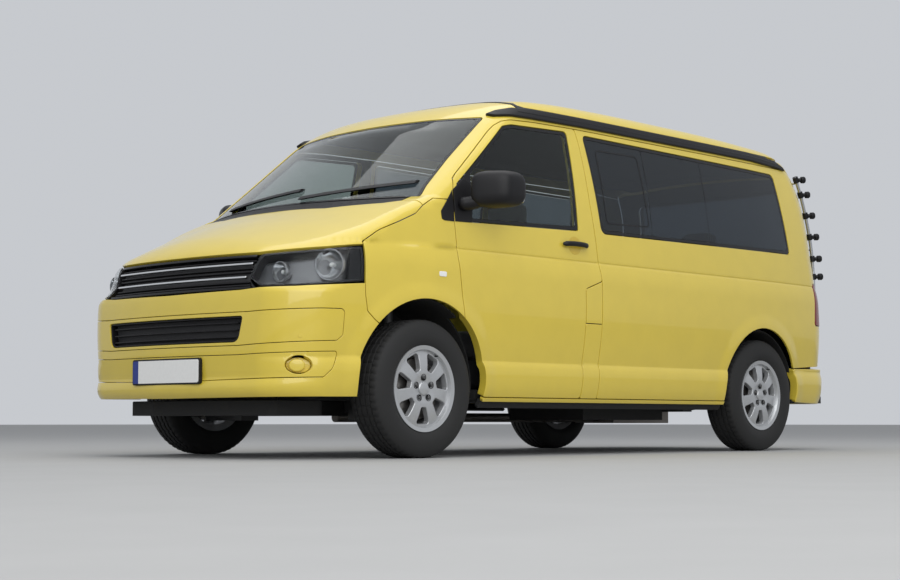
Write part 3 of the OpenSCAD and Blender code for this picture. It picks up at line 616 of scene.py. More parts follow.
PAINT = material("paint", (0.68, 0.52, 0.055), 0.34, coat=0.7, vary=0.02, scale=9)
UNDER = material("underbody", (0.018, 0.018, 0.018), 0.85, bump=0.4, scale=140)
BLACK = material("black_plastic", (0.007, 0.0068, 0.008), 0.46, bump=0.12, scale=500,
                 Specular_IOR_Level=0.32)
GLOSS = material("gloss_black", (0.005, 0.005, 0.006), 0.2, coat=0.1, scale=30, Specular_IOR_Level=0.3)
TRIM = material("dark_trim", (0.035, 0.035, 0.037), 0.7, bump=0.2, scale=300)
CHROME = material("chrome", (0.78, 0.79, 0.80), 0.09, metallic=1.0, vary=0.03)
SCREEN_GLASS = material("screen_glass", (0.50, 0.56, 0.54), 0.012, vary=0.02, scale=4,
                        Transmission_Weight=1.0, IOR=1.32)
PRIVACY = material("privacy_glass", (0.13, 0.16, 0.19), 0.012, vary=0.02, scale=4, Transmission_Weight=0.92,
                   IOR=1.34)
LENS = material("lamp_lens", (0.93, 0.95, 0.96), 0.01, vary=0.01, scale=5, Transmission_Weight=1.0, IOR=1.2)
TAIL_LENS = material("tail_lens", (0.17, 0.003, 0.007), 0.25, coat=0.15, vary=0.05, Specular_IOR_Level=0.3)
PLATE = material("plate", (0.80, 0.80, 0.78), 0.3, vary=0.02)
BLUE = material("plate_blue", (0.01, 0.03, 0.22), 0.3)
DASH = material("dash_plastic", (0.03, 0.03, 0.032), 0.7, bump=0.25, scale=420)
CLOTH = material("seat_cloth", (0.05, 0.05, 0.054), 0.92, bump=0.6, scale=900, Sheen_Weight=0.3)
STEEL = material("steel", (0.10, 0.10, 0.10), 0.55, metallic=0.7, bump=0.3, scale=180)
EXHAUST = material("exhaust_steel", (0.24, 0.22, 0.20), 0.5, metallic=0.9, scale=90)
TUBE = material("rack_tube", (0.52, 0.53, 0.55), 0.32, metallic=0.9, scale=120)
TYRE = material("tyre", (0.014, 0.014, 0.014), 0.78, bump=0.3, scale=260)
ALLOY = material("alloy", (0.46, 0.47, 0.48), 0.3, metallic=0.55, coat=0.5, scale=160, vary=0.03)
DISC = material("brake_disc", (0.22, 0.21, 0.20), 0.42, metallic=0.9, scale=240)
# The handle dish is the body's own yellow made darker: painted shade for the hollow behind the grip, since
# the dish is only a flat disc.
PAINTED_SHADE_DISH = material("handle_dish_painted_shade", (0.60, 0.42, 0.035), 0.4, coat=0.4, vary=0.04, scale=40)
REFLECTOR = material("reflector", (0.12, 0.123, 0.128), 0.42, metallic=0.6, scale=70, vary=0.08)
LAMP_CHROME = material("lamp_chrome", (0.55, 0.56, 0.57), 0.26, metallic=0.95, scale=60, vary=0.06)

SIDES = ((1, "left"), (-1, "right"))

# Body panels: outlines in (x, z) of the side view
DOOR_REAR = [(0.270, CANT_Z), (0.254, 1.712), (0.234, 1.391), (0.197, 1.073), (0.182, 0.952)]
DOOR_HEAD = [(1.335, 1.303), (1.333, 1.353), (1.312, 1.420), (1.285, 1.447), (1.190, 1.530), (0.986, 1.707),
             (0.933, 1.747), (0.876, 1.776), (0.810, 1.790), (0.620, 1.800), (0.270, CANT_Z)]
DOOR_FRONT = [(1.335, 1.303), (1.339, 1.195), (1.331, 1.093), (1.329, 0.995), (1.292, 0.70)]
FLAP_FRONT = [(0.182, 0.952), (0.325, 0.903), (0.322, 0.715), (0.342, SILL_Z)]
FLAP_REAR = [(0.182, 0.952), (0.180, 0.715), (0.199, SILL_Z)]


def arch(circle, start_z, start_way, end_z, end_way):
    """The stretch of a wheel arch between two heights."""
    return arc(circle[:2], circle[2], at_height(circle, start_z, start_way),
               at_height(circle, end_z, end_way))


def arch_at(circle, z, way):
    """Where a wheel arch meets a height: its x."""
    return arch(circle, z, way, z, way)[0, 0]


def side_outline(*runs, radius=0.0, side=1):
    """A loop on the body's side from runs of (x, z) points."""
    flat = [tuple(p) for run in runs for p in run]
    keep = [p for i, p in enumerate(flat) if math.dist(p, flat[i - 1]) > 1e-4]
    return side_points(densify(rounded(keep, radius)), side)


def build_doors():
    for side, word in SIDES:
        foot = FLAP_FRONT if side > 0 else [DOOR_REAR[-1], FLAP_REAR[-1]]
        lines = [*DOOR_HEAD[1:], *DOOR_REAR[1:], *foot[1:], *arch(FRONT_ARCH, SILL_Z, -1, 0.70, -1),
                 *DOOR_FRONT[::-1][1:]]
        loop = side_outline(rounded(lines, 0.02), side=side)
        hole = side_outline(rounded(WINDOW_DOOR, DOOR_CORNERS), side=side)
        panel(f"door_{word}_skin", loop, PAINT, f"door_{word}", [hole], body=f"door_{word}",
              depth=DOOR_SKIN, rows=CREASE_ROWS, closed_back=TRIM)


WINDOW_LEFT = [(0.209, 1.777), (0.150, 1.222), (-1.812, 1.245), (-1.748, 1.758)]
WINDOW_SLIDE = [(0.200, 1.777), (0.150, 1.222), (-0.857, 1.236), (-0.837, 1.768)]
WINDOW_REAR = [(-0.997, 1.766), (-1.013, 1.240), (-1.812, 1.245), (-1.748, 1.758)]
WINDOW_CORNERS = (0.030, 0.045, 0.020, 0.045)
WINDOW_BARS = (-0.328, -0.905)
SLIDE_PANE = [(0.117, 1.707), (0.095, 1.282), (-0.308, 1.292), (-0.276, 1.712)]
WINDOW_DOOR = [(1.300, 1.390), (0.882, 1.747), (0.807, 1.763), (0.347, 1.780), (0.356, 1.222),
               (1.300, 1.196)]
DOOR_CORNERS = (0.008, 0.040, 0.040, 0.025, 0.012, 0.006)
SLIDE_REAR = [(-0.893, CANT_Z), (-0.963, 0.80), (-1.023, 0.47), (-0.983, SILL_Z)]
GATE_EDGE = [(0.786, 0.552), (0.800, 0.80), (0.796, 1.08), (0.712, 1.75), (0.702, 1.79)]
GATE_TOP = [(0.702, 1.79), (0.66, 1.812), (0.35, 1.838), (0.0, 1.846)]
GATE_WINDOW = [(0.676, 1.17), (0.600, 1.732)]
CANT_REAR_X, CANT_REAR_Z = -1.95, 1.772
SILL_LOW_Z = 0.281
BUMPER_REAR = (0.516, 0.545)
BUMPER_REAR_LOW, BUMPER_CUT = 0.298, 0.012
GATE_LOW_Z = 0.556
LAMP_LOW_Z, LAMP_TOP_Z = 0.800, 1.075
LAMP_SIDE = [(-2.088, LAMP_LOW_Z), (-2.106, LAMP_TOP_Z)]


def u_side(x):
    """The unrolled place of a point on the straight part of the side."""
    return AROUND.marks[1] + Around.nose_c[0] - x


def u_ring(x, z, low, high):
    """The unrolled place where the body's outline at a height has a given x."""
    s = np.linspace(low, high, 200)
    ring = AROUND.lift(np.column_stack((s, np.full(200, z))))
    return float(np.interp(-x, -ring[:, 0], s))


def u_nose(x, z):
    return u_ring(x, z, 0.0, AROUND.marks[1] + 0.6)


def u_tail(x, z):
    return u_ring(x, z, AROUND.marks[1] + 3.4, AROUND.total - 0.02)


def unroll(uv, side=1, step=STEP):
    """An open run of unrolled points put on the body."""
    return mirrored(AROUND.lift(densify(uv, step, closed=False)), side)


def gate_edge(z0, z1, side=1):
    """The tailgate's side edge between two heights."""
    yz = np.array(GATE_EDGE)
    z = np.linspace(z0, z1, max(2, int(abs(z1 - z0) / STEP)))
    return mirrored(TAIL.lift(np.column_stack((np.interp(z, yz[:, 1], yz[:, 0]), z))), side)


def gate_run(z):
    """The tailgate's edge from a height on its side up and over to the middle."""
    return gate_edge(z, GATE_TOP[0][1]), TAIL.lift(densify(GATE_TOP, closed=False))


def u_gate(z):
    return float(AROUND.flatten(gate_edge(z, z + 0.001)[:1])[0, 0])


def join(*runs):
    """One loop of points from runs that follow each other, without doubled points."""
    points = np.vstack(runs)
    keep = np.linalg.norm(points - np.roll(points, 1, 0), axis=1) > 0.002
    return points[keep]


def both(half):
    """A closed loop from its left half."""
    return join(half, mirrored(half[::-1], -1))


def side_loop(xz, radius=0.0, side=1):
    """A closed loop on the body's side, with rounded corners."""
    return side_points(densify(rounded(xz, radius)), side)


def side_run(xz, side=1, radius=0.0):
    """An open run of side-view points on the body's side."""
    return side_points(densify(rounded(xz, radius, closed=False), closed=False), side)


def lamp_run(side):
    """The tail lamp's edge on the side panel, from its foot to its top."""
    edge = [(u_tail(x, z), z) for x, z in LAMP_SIDE]
    corners = [(u_gate(LAMP_LOW_Z), LAMP_LOW_Z), *edge, (u_gate(LAMP_TOP_Z), LAMP_TOP_Z)]
    return unroll(rounded(corners, 0.02, closed=False), side)


def tail_run(side):
    """From the rear arch round the corner, past the tail lamp, to the top of the side panel."""
    arch_x = arch_at(REAR_ARCH, BUMPER_REAR[0], -1)
    return (
        unroll([(u_side(arch_x), BUMPER_REAR[0]), (u_gate(BUMPER_REAR[1]), BUMPER_REAR[1])], side),
        gate_edge(BUMPER_REAR[1], LAMP_LOW_Z, side),
        lamp_run(side),
        gate_edge(LAMP_TOP_Z, CANT_REAR_Z, side),
    )


def inset(loop, shape, distance):
    """A loop moved in from its edge along the shape."""
    loop, n = oriented(loop, shape)
    moved = loop - away(loop, n) * orientation(shape, (loop, n)) * distance
    nearest = np.linalg.norm(moved[:, None] - loop[None], axis=2).min(1)
    return thinned(moved[nearest > 0.96 * distance])


def glazing(name, loop, replaces, pane=None, panes=None, body="van_body", shape=AROUND, border=0.022):
    """A flush pane with a black border, or several panes in one border."""
    openings = panes or [inset(loop, shape, border)]
    panel(f"{name}_border", loop, GLOSS, replaces, openings, body=body, shape=shape, gap=0.005, depth=0.008,
          hem=0.001, sink=0.003)
    for k, opening in enumerate(openings):
        panel(f"{name}_pane_{k}", opening, pane or PRIVACY, body=body, shape=shape, gap=-0.002, depth=0.004,
              hem=0.0008, sink=0.0042, grid=0.05)


def build_sills():
    arch_x = arch_at(REAR_ARCH, SILL_Z, 1)
    for side, word in SIDES:
        top_z = SILL_Z - 0.003
        edge = [(1.128, top_z), (arch_x - 0.006, top_z), (arch_x - 0.002, SILL_LOW_Z), (1.124, SILL_LOW_Z)]
        panel(f"sill_{word}", side_loop(edge, side=side), PAINT, gap=0.001, depth=0.02)
        under = side_loop(box(-1.045, 1.115, 0.236, 0.279), side=side)
        panel(f"sill_under_{word}", under, UNDER, gap=0.001, sink=0.022, depth=0.02)


def rear_skin(front, side):
    """A rear side panel's outline from its front edge, along the sill, arch, tail and cant rail."""
    top = [(u_gate(CANT_REAR_Z), CANT_REAR_Z), (u_side(CANT_REAR_X), CANT_Z), (u_side(front[0][0]), CANT_Z)]
    return join(side_run([*front, (arch_at(REAR_ARCH, SILL_Z, 1), SILL_Z)], side),
                side_run(arch(REAR_ARCH, SILL_Z, 1, BUMPER_REAR[0], -1), side), *tail_run(side),
                unroll(top, side))


def build_left_side():
    window = side_loop(WINDOW_LEFT, WINDOW_CORNERS)
    skin = rear_skin([*DOOR_REAR, *FLAP_REAR[1:]], 1)
    panes = split_panes(WINDOW_LEFT, WINDOW_BARS)
    panel("side_panel_left_skin", skin, PAINT, "side_panel_left", [window], rows=CREASE_ROWS)
    glazing("side_glass_left", window, "side_glass_left", panes=panes)
    pane = side_loop(SLIDE_PANE, 0.03)
    panel("slide_pane_frame", pane, GLOSS, holes=[inset(pane, AROUND, 0.009)], gap=0, sink=0.0026,
          depth=0.0012, hem=0.0004)
    upper = side_outline([*FLAP_FRONT[:3], FLAP_REAR[1]])
    lower = side_outline([*FLAP_FRONT[2:], *FLAP_REAR[:0:-1]])
    panel("fuel_flap_upper", upper, PAINT, "fuel_flap")
    panel("fuel_flap_lower", lower, PAINT, gap=0.0035)


def build_right_side():
    slide = join(side_run([*DOOR_REAR, FLAP_REAR[-1], *SLIDE_REAR[::-1]], -1, 0.008))
    window = side_loop(WINDOW_SLIDE, WINDOW_CORNERS, -1)
    panel("sliding_door_skin", slide, PAINT, "sliding_door", [window], rows=CREASE_ROWS)
    glazing("slide_glass", window, "side_glass_right")
    window = side_loop(WINDOW_REAR, WINDOW_CORNERS, -1)
    skin = rear_skin(SLIDE_REAR, -1)
    panel("side_panel_right_skin", skin, PAINT, "side_panel_right", [window], rows=CREASE_ROWS)
    glazing("rear_side_glass", window, ())


def split_panes(window, cuts, border=0.022, bar=0.004):
    """The openings left in a long window's border by its upright bars."""
    front_top, front_low, rear_low, rear_top = window

    def on_top(x):
        return x, np.interp(x, (rear_top[0], front_top[0]), (rear_top[1], front_top[1])) - border

    def on_foot(x):
        return x, np.interp(x, (rear_low[0], front_low[0]), (rear_low[1], front_low[1])) + border

    ends = [(front_top[0] - border, front_low[0] - border, 0.03)]
    for x in cuts:
        ends += [(x + bar, x + bar, 0.008), (x - bar, x - bar, 0.008)]
    ends.append((rear_top[0] + border, rear_low[0] + border, 0.03))
    loops = []
    for (f_top, f_low, f_round), (r_top, r_low, r_round) in zip(ends[::2], ends[1::2]):
        corners = [on_top(f_top), on_foot(f_low), on_foot(r_low), on_top(r_top)]
        loops.append(side_loop(corners, (f_round, f_round, r_round, r_round)))
    return loops


WING_LINE = [(1.938, 57.3), (1.855, 53.0), (1.829, 52.0), (1.718, 49.3), (1.601, 46.1), (1.548, 43.0)]
PILLAR_FOOT = [(1.469, 1.301), (1.335, 1.303)]
BAND_TOP = [(0.0, 0.990), (0.55, 0.992), (0.73, 1.003), (0.94, 1.016), (1.1464, 1.033)]
BAND_LOW = [(0.0, 0.803), (0.50, 0.809), (0.61, 0.817), (0.78, 0.821), (1.1464, 0.846)]
BUMPER_SEAM = [(BAND_X, 0.846), (1.937, 0.786), (1.922, 0.711), (1.884, 0.674)]
BUMPER_ARCH_Z = 0.653


def wing_run(side):
    """The bonnet's side edge, from the headlamp to the front pillar."""
    xa = densify(np.array(WING_LINE) * (1, math.radians(1)), 0.02, closed=False) * (1, math.degrees(1))
    return wing_points(xa, side)


def build_wings():
    for side, word in SIDES:
        loop = join(wing_run(side), side_run([*PILLAR_FOOT, *DOOR_FRONT[1:]], side),
                    side_run(arch(FRONT_ARCH, 0.70, -1, BUMPER_ARCH_Z, 1), side),
                    side_run([*BUMPER_SEAM[::-1], (BAND_X, 0.98)], side))
        panel(f"fender_{word}", loop, PAINT, "fenders" if side > 0 else (), shape=WING[side])


HOOD_REAR = [(1.775, 0.0), (1.752, 0.4), (1.64, 0.70), (1.578, 0.79), (1.567, 0.84), (1.558, 0.865)]
COWL_HALF = 0.77
HOOD_INSIDE_Z = 1.0


def hood_rear_run():
    """The bonnet's rear edge from the middle to its left corner."""
    xy = densify(HOOD_REAR, STEP, closed=False)
    origin = np.column_stack((xy, np.full(len(xy), HOOD_INSIDE_Z)))
    return hit(origin, np.tile((0.0, 0.0, 1.0), (len(xy), 1)))


def build_bonnet():
    half = np.vstack((unroll(BAND_TOP), wing_run(1), hood_rear_run()[::-1]))
    loop = both(half)
    panel("bonnet_skin", loop, PAINT, "bonnet", body="bonnet", shape=HOOD, depth=0.018, grid=0.025,
          closed_back=TRIM)


SCREEN_EDGE = [(0.0, 1.814), (0.42, 1.812), (0.733, 1.803), (0.748, 1.677), (0.767, 1.534), (0.799, 1.376),
               (0.822, 1.314)]
SCREEN_LOW = [(0.822, 1.314), (0.4, 1.316), (0.0, 1.320)]
SCREEN_CORNERS = (0.025, 0.03, 0.02, 0.02, 0.02, 0.012, 0.02)


def screen_run(yz, radius=0.0):
    return SCREEN.lift(densify(rounded(yz, radius, closed=False), closed=False))


def pop_half(grow):
    """The lifting roof's edge from the front middle round the left to the rear middle, grown outwards."""
    front_x, rear_x = POP_FRONT_X + grow, POP_REAR_X - grow
    x = np.linspace(front_x - 0.05, rear_x + 0.06, 60)
    flat = LOFT.flatten(side_points(np.column_stack((x, np.full(60, POP_Z - grow)))))
    front = [(front_x, 0.0), (front_x, flat[0, 1] - 0.05), (front_x - 0.012, flat[0, 1] - 0.015)]
    rear = [(rear_x + 0.015, flat[-1, 1] - 0.02), (rear_x, flat[-1, 1] - 0.07), (rear_x, 0.0)]
    return LOFT.lift(densify(np.vstack((front, flat, rear)), closed=False))


def build_upper():
    heel, low = hood_rear_run(), screen_run(SCREEN_LOW)
    under, toe = low[low[:, 1] > COWL_HALF], heel[heel[:, 1] > COWL_HALF]
    cant = [(u_side(DOOR_REAR[0][0]), CANT_Z), (u_side(CANT_REAR_X), CANT_Z),
            (u_gate(CANT_REAR_Z), CANT_REAR_Z)]
    half = np.vstack((screen_run(SCREEN_EDGE, 0.025), under[1:], toe, wing_points(WING_LINE[-1:]),
                      side_run([*PILLAR_FOOT, *DOOR_HEAD[1:]]), unroll(cant), *gate_run(CANT_REAR_Z)))
    hole = both(pop_half(POP_SEAL))
    panel("upper_frame_skin", both(half), PAINT, "upper_frame", [hole], shape=LOFT, grid=0.018)


def build_pop_top():
    inner, outer = (half[half[:, 0] > POP_SEAL_END] for half in (pop_half(0.0), pop_half(POP_SEAL)))
    seal = join(mirrored(outer[::-1], -1), outer, inner[::-1], mirrored(inner, -1))
    panel("pop_top_seal", seal, BLACK, shape=LOFT, gap=0.003, hem=0.001, sink=-0.002, depth=0.014)
    inner, outer = (half[half[:, 0] < POP_SEAL_END] for half in (pop_half(-0.03),
                                                                 pop_half(POP_SEAL - 0.004)))
    gutter = join(outer, mirrored(outer[::-1], -1), mirrored(inner, -1), inner[::-1])
    panel("pop_top_gutter", gutter, TRIM, shape=LOFT, gap=0.002, sink=0.050, depth=0.006)
    lid = both(pop_half(0.0))
    panel("pop_top_skin", lid, PAINT, "pop_top", body="pop_top", shape=LOFT, gap=0.004, depth=0.030,
          grid=0.03, closed_back=TRIM)


def build_windscreen():
    half = [*SCREEN_EDGE[1:], *SCREEN_LOW[1:-1]]
    radii = (*SCREEN_CORNERS, *SCREEN_CORNERS[::-1])
    loop = SCREEN.lift(densify(rounded([*half, *[(-y, z) for y, z in half[::-1]]], radii)))
    glazing("windscreen", loop, "windscreen", SCREEN_GLASS, shape=SCREEN, border=0.018)
    heel, low = hood_rear_run(), screen_run(SCREEN_LOW)
    cover = both(np.vstack((heel[heel[:, 1] < COWL_HALF], low[low[:, 1] < COWL_HALF])))
    panel("cowl_cover", cover, BLACK, "cowl", shape=HOOD, gap=0.008, sink=0.004, depth=0.008)


def bumper_swell(p):
    """The rear bumper stands out further towards the corners and the back."""
    return -0.020 * smooth((-1.87 - p[:, 0]) / 0.22)


def build_gate():
    foot = TAIL.lift(densify([(0.0, GATE_LOW_Z), (GATE_EDGE[0][0], GATE_LOW_Z)], closed=False))
    loop = both(np.vstack((foot, *gate_run(GATE_LOW_Z))))
    (low_y, low_z), (top_y, top_z) = GATE_WINDOW
    window = [(-low_y, low_z), (low_y, low_z), (top_y, top_z), (-top_y, top_z)]
    hole = TAIL.lift(densify(rounded(window, 0.07)))
    panel("tailgate_skin", loop, PAINT, "tailgate", [hole], body="tailgate", shape=TAIL, depth=0.04,
          closed_back=TRIM)
    glazing("tailgate_glass", hole, "tailgate_glass", body="tailgate", shape=TAIL, border=0.03)


def build_rear_bumper():
    top_x, low_x = (arch_at(REAR_ARCH, z, -1) for z in (BUMPER_REAR[0], BUMPER_REAR_LOW))
    foot = [(AROUND.total, 0.302), (u_side(-2.05), 0.300), (u_side(low_x - BUMPER_CUT), BUMPER_REAR_LOW)]
    edge = arch(REAR_ARCH, BUMPER_REAR_LOW + BUMPER_CUT, -1, BUMPER_REAR[0] - BUMPER_CUT, -1)
    top = [(u_side(top_x - BUMPER_CUT - 0.002), BUMPER_REAR[0]), (AROUND.total, BUMPER_REAR[1])]
    loop = both(np.vstack((unroll(foot), side_run(edge), unroll(top))))
    panel("rear_bumper_skin", loop, PAINT, "rear_bumper", shape=BEHIND, depth=0.05, sink=bumper_swell,
          hem=0.006)
    back = [(AROUND.total, 0.49), (u_side(-1.90), 0.47), (u_side(-1.90), 0.56), (AROUND.total, 0.60)]
    panel("rear_joint_back", both(unroll(back)), TRIM, shape=BEHIND, sink=0.046, depth=0.01)


def build_tail_lamps():
    for side, word in SIDES:
        loop = join(gate_edge(LAMP_TOP_Z, LAMP_LOW_Z, side), lamp_run(side))
        panel(f"tail_lamp_{word}", loop, TAIL_LENS, "tail_lamps" if side > 0 else (), shape=BEHIND,
              depth=0.03, sink=-0.002, hem=0.004)


LOW_GRILLE = [(0.0, 0.676), (0.525, 0.681), (0.500, 0.558), (0.0, 0.550)]
LOW_GRILLE_CORNERS = (0.012, 0.040, 0.040, 0.012)
BAND_PANEL = [(0.0, 0.696), (0.55, 0.701), (0.91, 0.715), (1.01, 0.716), (1.026, 0.704), (1.020, 0.590),
              (0.987, 0.565), (0.50, 0.541), (0.0, 0.532)]
FOG_PANEL = [(0.0, 0.490), (0.50, 0.497), (0.985, 0.514), (0.992, 0.500), (0.962, 0.432), (0.915, 0.390),
             (0.25, 0.377), (0.0, 0.376)]
BUMPER_LOW = (0.290, 0.298)
FOG_AT, FOG_R, FOG_WIDE = (0.800, 0.447), 0.043, 1.40
# The undertray is a real dark part. It is made deep and wide so that its front face also fills the shade
# under the front bumper, so it is partly painted shade.
TRAY_AT = (2.12, 0, 0.285)
TRAY_HALF = [(0.17, 0.30), (0.12, 0.56), (-0.18, 0.62), (-0.20, 0.40), (-0.62, 0.38)]


def closed_half(points):
    """A loop from its left half, which starts and ends in the middle plane."""
    left = [tuple(p) for p in points if p[0] > 1e-6]
    return np.array([*left, *[(-u, v) for u, v in left[::-1]]])


def nose_loop(points, radius=0.012):
    """A closed loop round the nose from its left half."""
    return AROUND.lift(densify(rounded(closed_half(points), radius)))


def fog_ring(side):
    """The rim of a fog lamp's place."""
    return mirrored(AROUND.lift(ring(*FOG_AT, FOG_R, stretch=FOG_WIDE)), side)


def build_front_bumper():
    low_z = BUMPER_LOW[1]
    edge = arch(FRONT_ARCH, BUMPER_ARCH_Z, 1, low_z, 1)
    foot = [(u_nose(arch_at(FRONT_ARCH, low_z, 1), low_z), low_z), (0.0, BUMPER_LOW[0])]
    loop = both(np.vstack((unroll(BAND_LOW), side_run(BUMPER_SEAM), side_run(edge), unroll(foot))))
    band, low = nose_loop(BAND_PANEL), nose_loop(FOG_PANEL)
    grille = nose_loop(LOW_GRILLE, LOW_GRILLE_CORNERS)
    fogs = [fog_ring(side) for side, _ in SIDES]
    panel("front_bumper_skin", loop, PAINT, "front_bumper", [band, low], gap=0.003, depth=0.02, grid=0.016)
    panel("front_bumper_band", band, PAINT, holes=[grille], gap=0.003, depth=0.02)
    panel("front_bumper_low", low, PAINT, holes=fogs, gap=0.003, depth=0.032, grid=0.016)


def build_undertray():
    tray = Plane(TRAY_AT, (1, 0, 0), (0, 1, 0))
    corners = [*TRAY_HALF, *[(u, -v) for u, v in TRAY_HALF[::-1]]]
    loop = tray.lift(densify(rounded(corners, 0.05)))
    panel("undertray", loop, UNDER, shape=tray, gap=0, depth=0.075, hem=0.006, grid=0.05)


# Smaller shapes
TUBE_END = 0.55


class Plane:
    """A flat shape: u and v run along two directions from an origin."""

    def __init__(self, origin, along, up):
        self.o, self.e = np.array(origin, float), np.array((along, up), float)
        self.n = np.cross(self.e[0], self.e[1])

    def flatten(self, p):
        return (p - self.o) @ self.e.T

    def lift(self, uv):
        return self.o + uv @ self.e

    def normals(self, p):
        return np.tile(self.n, (len(p), 1))


class Dish:
    """A round face across y, crowned by a function of the radius."""

    def __init__(self, centre, side, crown):
        self.c, self.side, self.crown = np.array(centre, float), side, crown

    def flatten(self, p):
        return (p - self.c)[:, (0, 2)]

    def lift(self, uv):
        r = np.hypot(uv[:, 0], uv[:, 1])
        return self.c + np.column_stack((uv[:, 0], self.side * self.crown(r), uv[:, 1]))

    def normals(self, p):
        d = (p - self.c)[:, (0, 2)]
        r = np.maximum(np.hypot(d[:, 0], d[:, 1]), 1e-6)
        slope = (self.crown(r + 1e-4) - self.crown(r - 1e-4)) / 2e-4
        n = np.column_stack((-slope * d[:, 0] / r, np.full(len(p), float(self.side)), -slope * d[:, 1] / r))
        return n / np.linalg.norm(n, axis=1, keepdims=True)


def woven(rows, columns, ring=False):
    """The faces of a net of points whose rows are closed, and its columns too where it is a ring."""
    faces = []
    for j in range(rows if ring else rows - 1):
        for i in range(columns):
            here, over = j * columns, (j + 1) % rows * columns
            k = (i + 1) % columns
            faces.append((here + i, here + k, over + k, over + i))
    return faces


def solid(name, body, verts, faces, surface, replaces=(), sharp=None):
    """A closed, smooth mesh with its faces turned outwards; edges past the sharp angle stay sharp."""
    piece = make_mesh(name, verts, faces)
    bm = bmesh.new()
    bm.from_mesh(piece.data)
    bmesh.ops.remove_doubles(bm, verts=bm.verts, dist=1e-6)
    bmesh.ops.recalc_face_normals(bm, faces=bm.faces)
    bm.to_mesh(piece.data)
    bm.free()
    piece.data.shade_smooth()
    if sharp:
        piece.data.set_sharp_from_angle(angle=math.radians(sharp))
    return finish_piece(piece, body, surface, replaces)


def revolve(name, body, profile, centre, axis, surface, replaces=(), turns=64, shift=None):
    """A closed profile of (radius, place) turned about an axis. shift moves points by angle step."""
    axis = Vector(axis).normalized()
    across = Vector((1, 0, 0)) if abs(axis.y) > 0.99 else axis.orthogonal().normalized()
    up = axis.cross(across)
    profile = np.asarray(profile, float)
    verts = []
    for k in range(turns):
        a = 2 * math.pi * k / turns
        way = np.array(across * math.cos(a) + up * math.sin(a))
        radius = profile[:, 0] + (shift(k, profile) if shift else 0)
        verts.append(np.array(centre) + radius[:, None] * way + profile[:, 1:2] * np.array(axis))
    faces = woven(turns, len(profile), ring=True)
    return solid(name, body, np.vstack(verts), faces, surface, replaces, sharp=35)


def blob(name, body, low, high, surface, replaces=(), square=(3.0, 3.0, 3.0), taper=None, n=(40, 24)):
    """A rounded box between two corners: a squared-off ball, reshaped by taper."""
    low, high = np.array(low, float), np.array(high, float)
    centre, half = (low + high) / 2, (high - low) / 2
    verts = []

    def power(v, e):
        return np.sign(v) * np.abs(v) ** (2 / e)

    for j in range(n[1] + 1):
        b = -math.pi / 2 + math.pi * j / n[1]
        out, up = power(math.cos(b), square[2]), power(math.sin(b), square[2])
        for i in range(n[0]):
            a = 2 * math.pi * i / n[0]
            q = np.array((out * power(math.cos(a), square[0]), out * power(math.sin(a), square[1]), up))
            verts.append(centre + half * (taper(q) if taper else q))
    return solid(name, body, verts, woven(n[1] + 1, n[0]), surface, replaces)


def tube(name, body, points, radius, surface, replaces=(), sides=12, flat=1.0, up=(0, 0, 1)):
    """A closed bar along points, round or flattened, with narrowed ends."""
    points = np.asarray(points, float)
    way = np.gradient(points, axis=0)
    way /= np.linalg.norm(way, axis=1, keepdims=True)
    ends = np.ones(len(points))
    ends[0] = ends[-1] = TUBE_END
    verts = []
    for p, w, e in zip(points, way, ends):
        side = np.cross(w, up)
        side /= np.linalg.norm(side)
        top = np.cross(side, w)
        for k in range(sides):
            a = 2 * math.pi * k / sides
            verts.append(p + e * radius * (side * math.cos(a) * flat + top * math.sin(a)))
    last = len(verts) - sides
    caps = [tuple(range(sides))[::-1], tuple(range(last, len(verts)))]
    return solid(name, body, verts, woven(len(points), sides) + caps, surface, replaces, sharp=50)


def ring(u, v, r, n=36, stretch=1.0):
    """A circle or upright ellipse in flat coordinates."""
    a = np.linspace(0, 2 * math.pi, n, endpoint=False)
    return np.column_stack((u + r * stretch * np.cos(a), v + r * np.sin(a)))


def strip(name, points, height, surface, side=1, **more):
    """A band of even height along a run of unrolled (u, v) points."""
    points = np.asarray(points, float)
    half = np.array((0, height / 2))
    loop = np.vstack((densify(points + half, closed=False), densify(points - half, closed=False)[::-1]))
    return panel(name, mirrored(AROUND.lift(loop), side), surface, gap=0.0, **more)


# Nose: grilles, headlamps, bumper inserts, plate
LAMP = [(1.140, 1.026), (0.9365, 1.009), (0.73, 0.996), (0.575, 0.985), (0.530, 0.869), (0.610, 0.826),
        (0.777, 0.829), (1.138, 0.853)]
LAMP_CORNERS = (0.012, 0.05, 0.05, 0.03, 0.02, 0.02, 0.05, 0.012)
GRILLE_HALF = [(0.0, 0.982), (0.560, 0.984), (0.517, 0.869), (0.588, 0.822), (0.50, 0.816), (0.0, 0.810)]
LAMP_DARK_U = 1.062
PLATE_HALF, PLATE_FRAME, PLATE_BAND = (0.260, 0.056), 0.008, 0.044


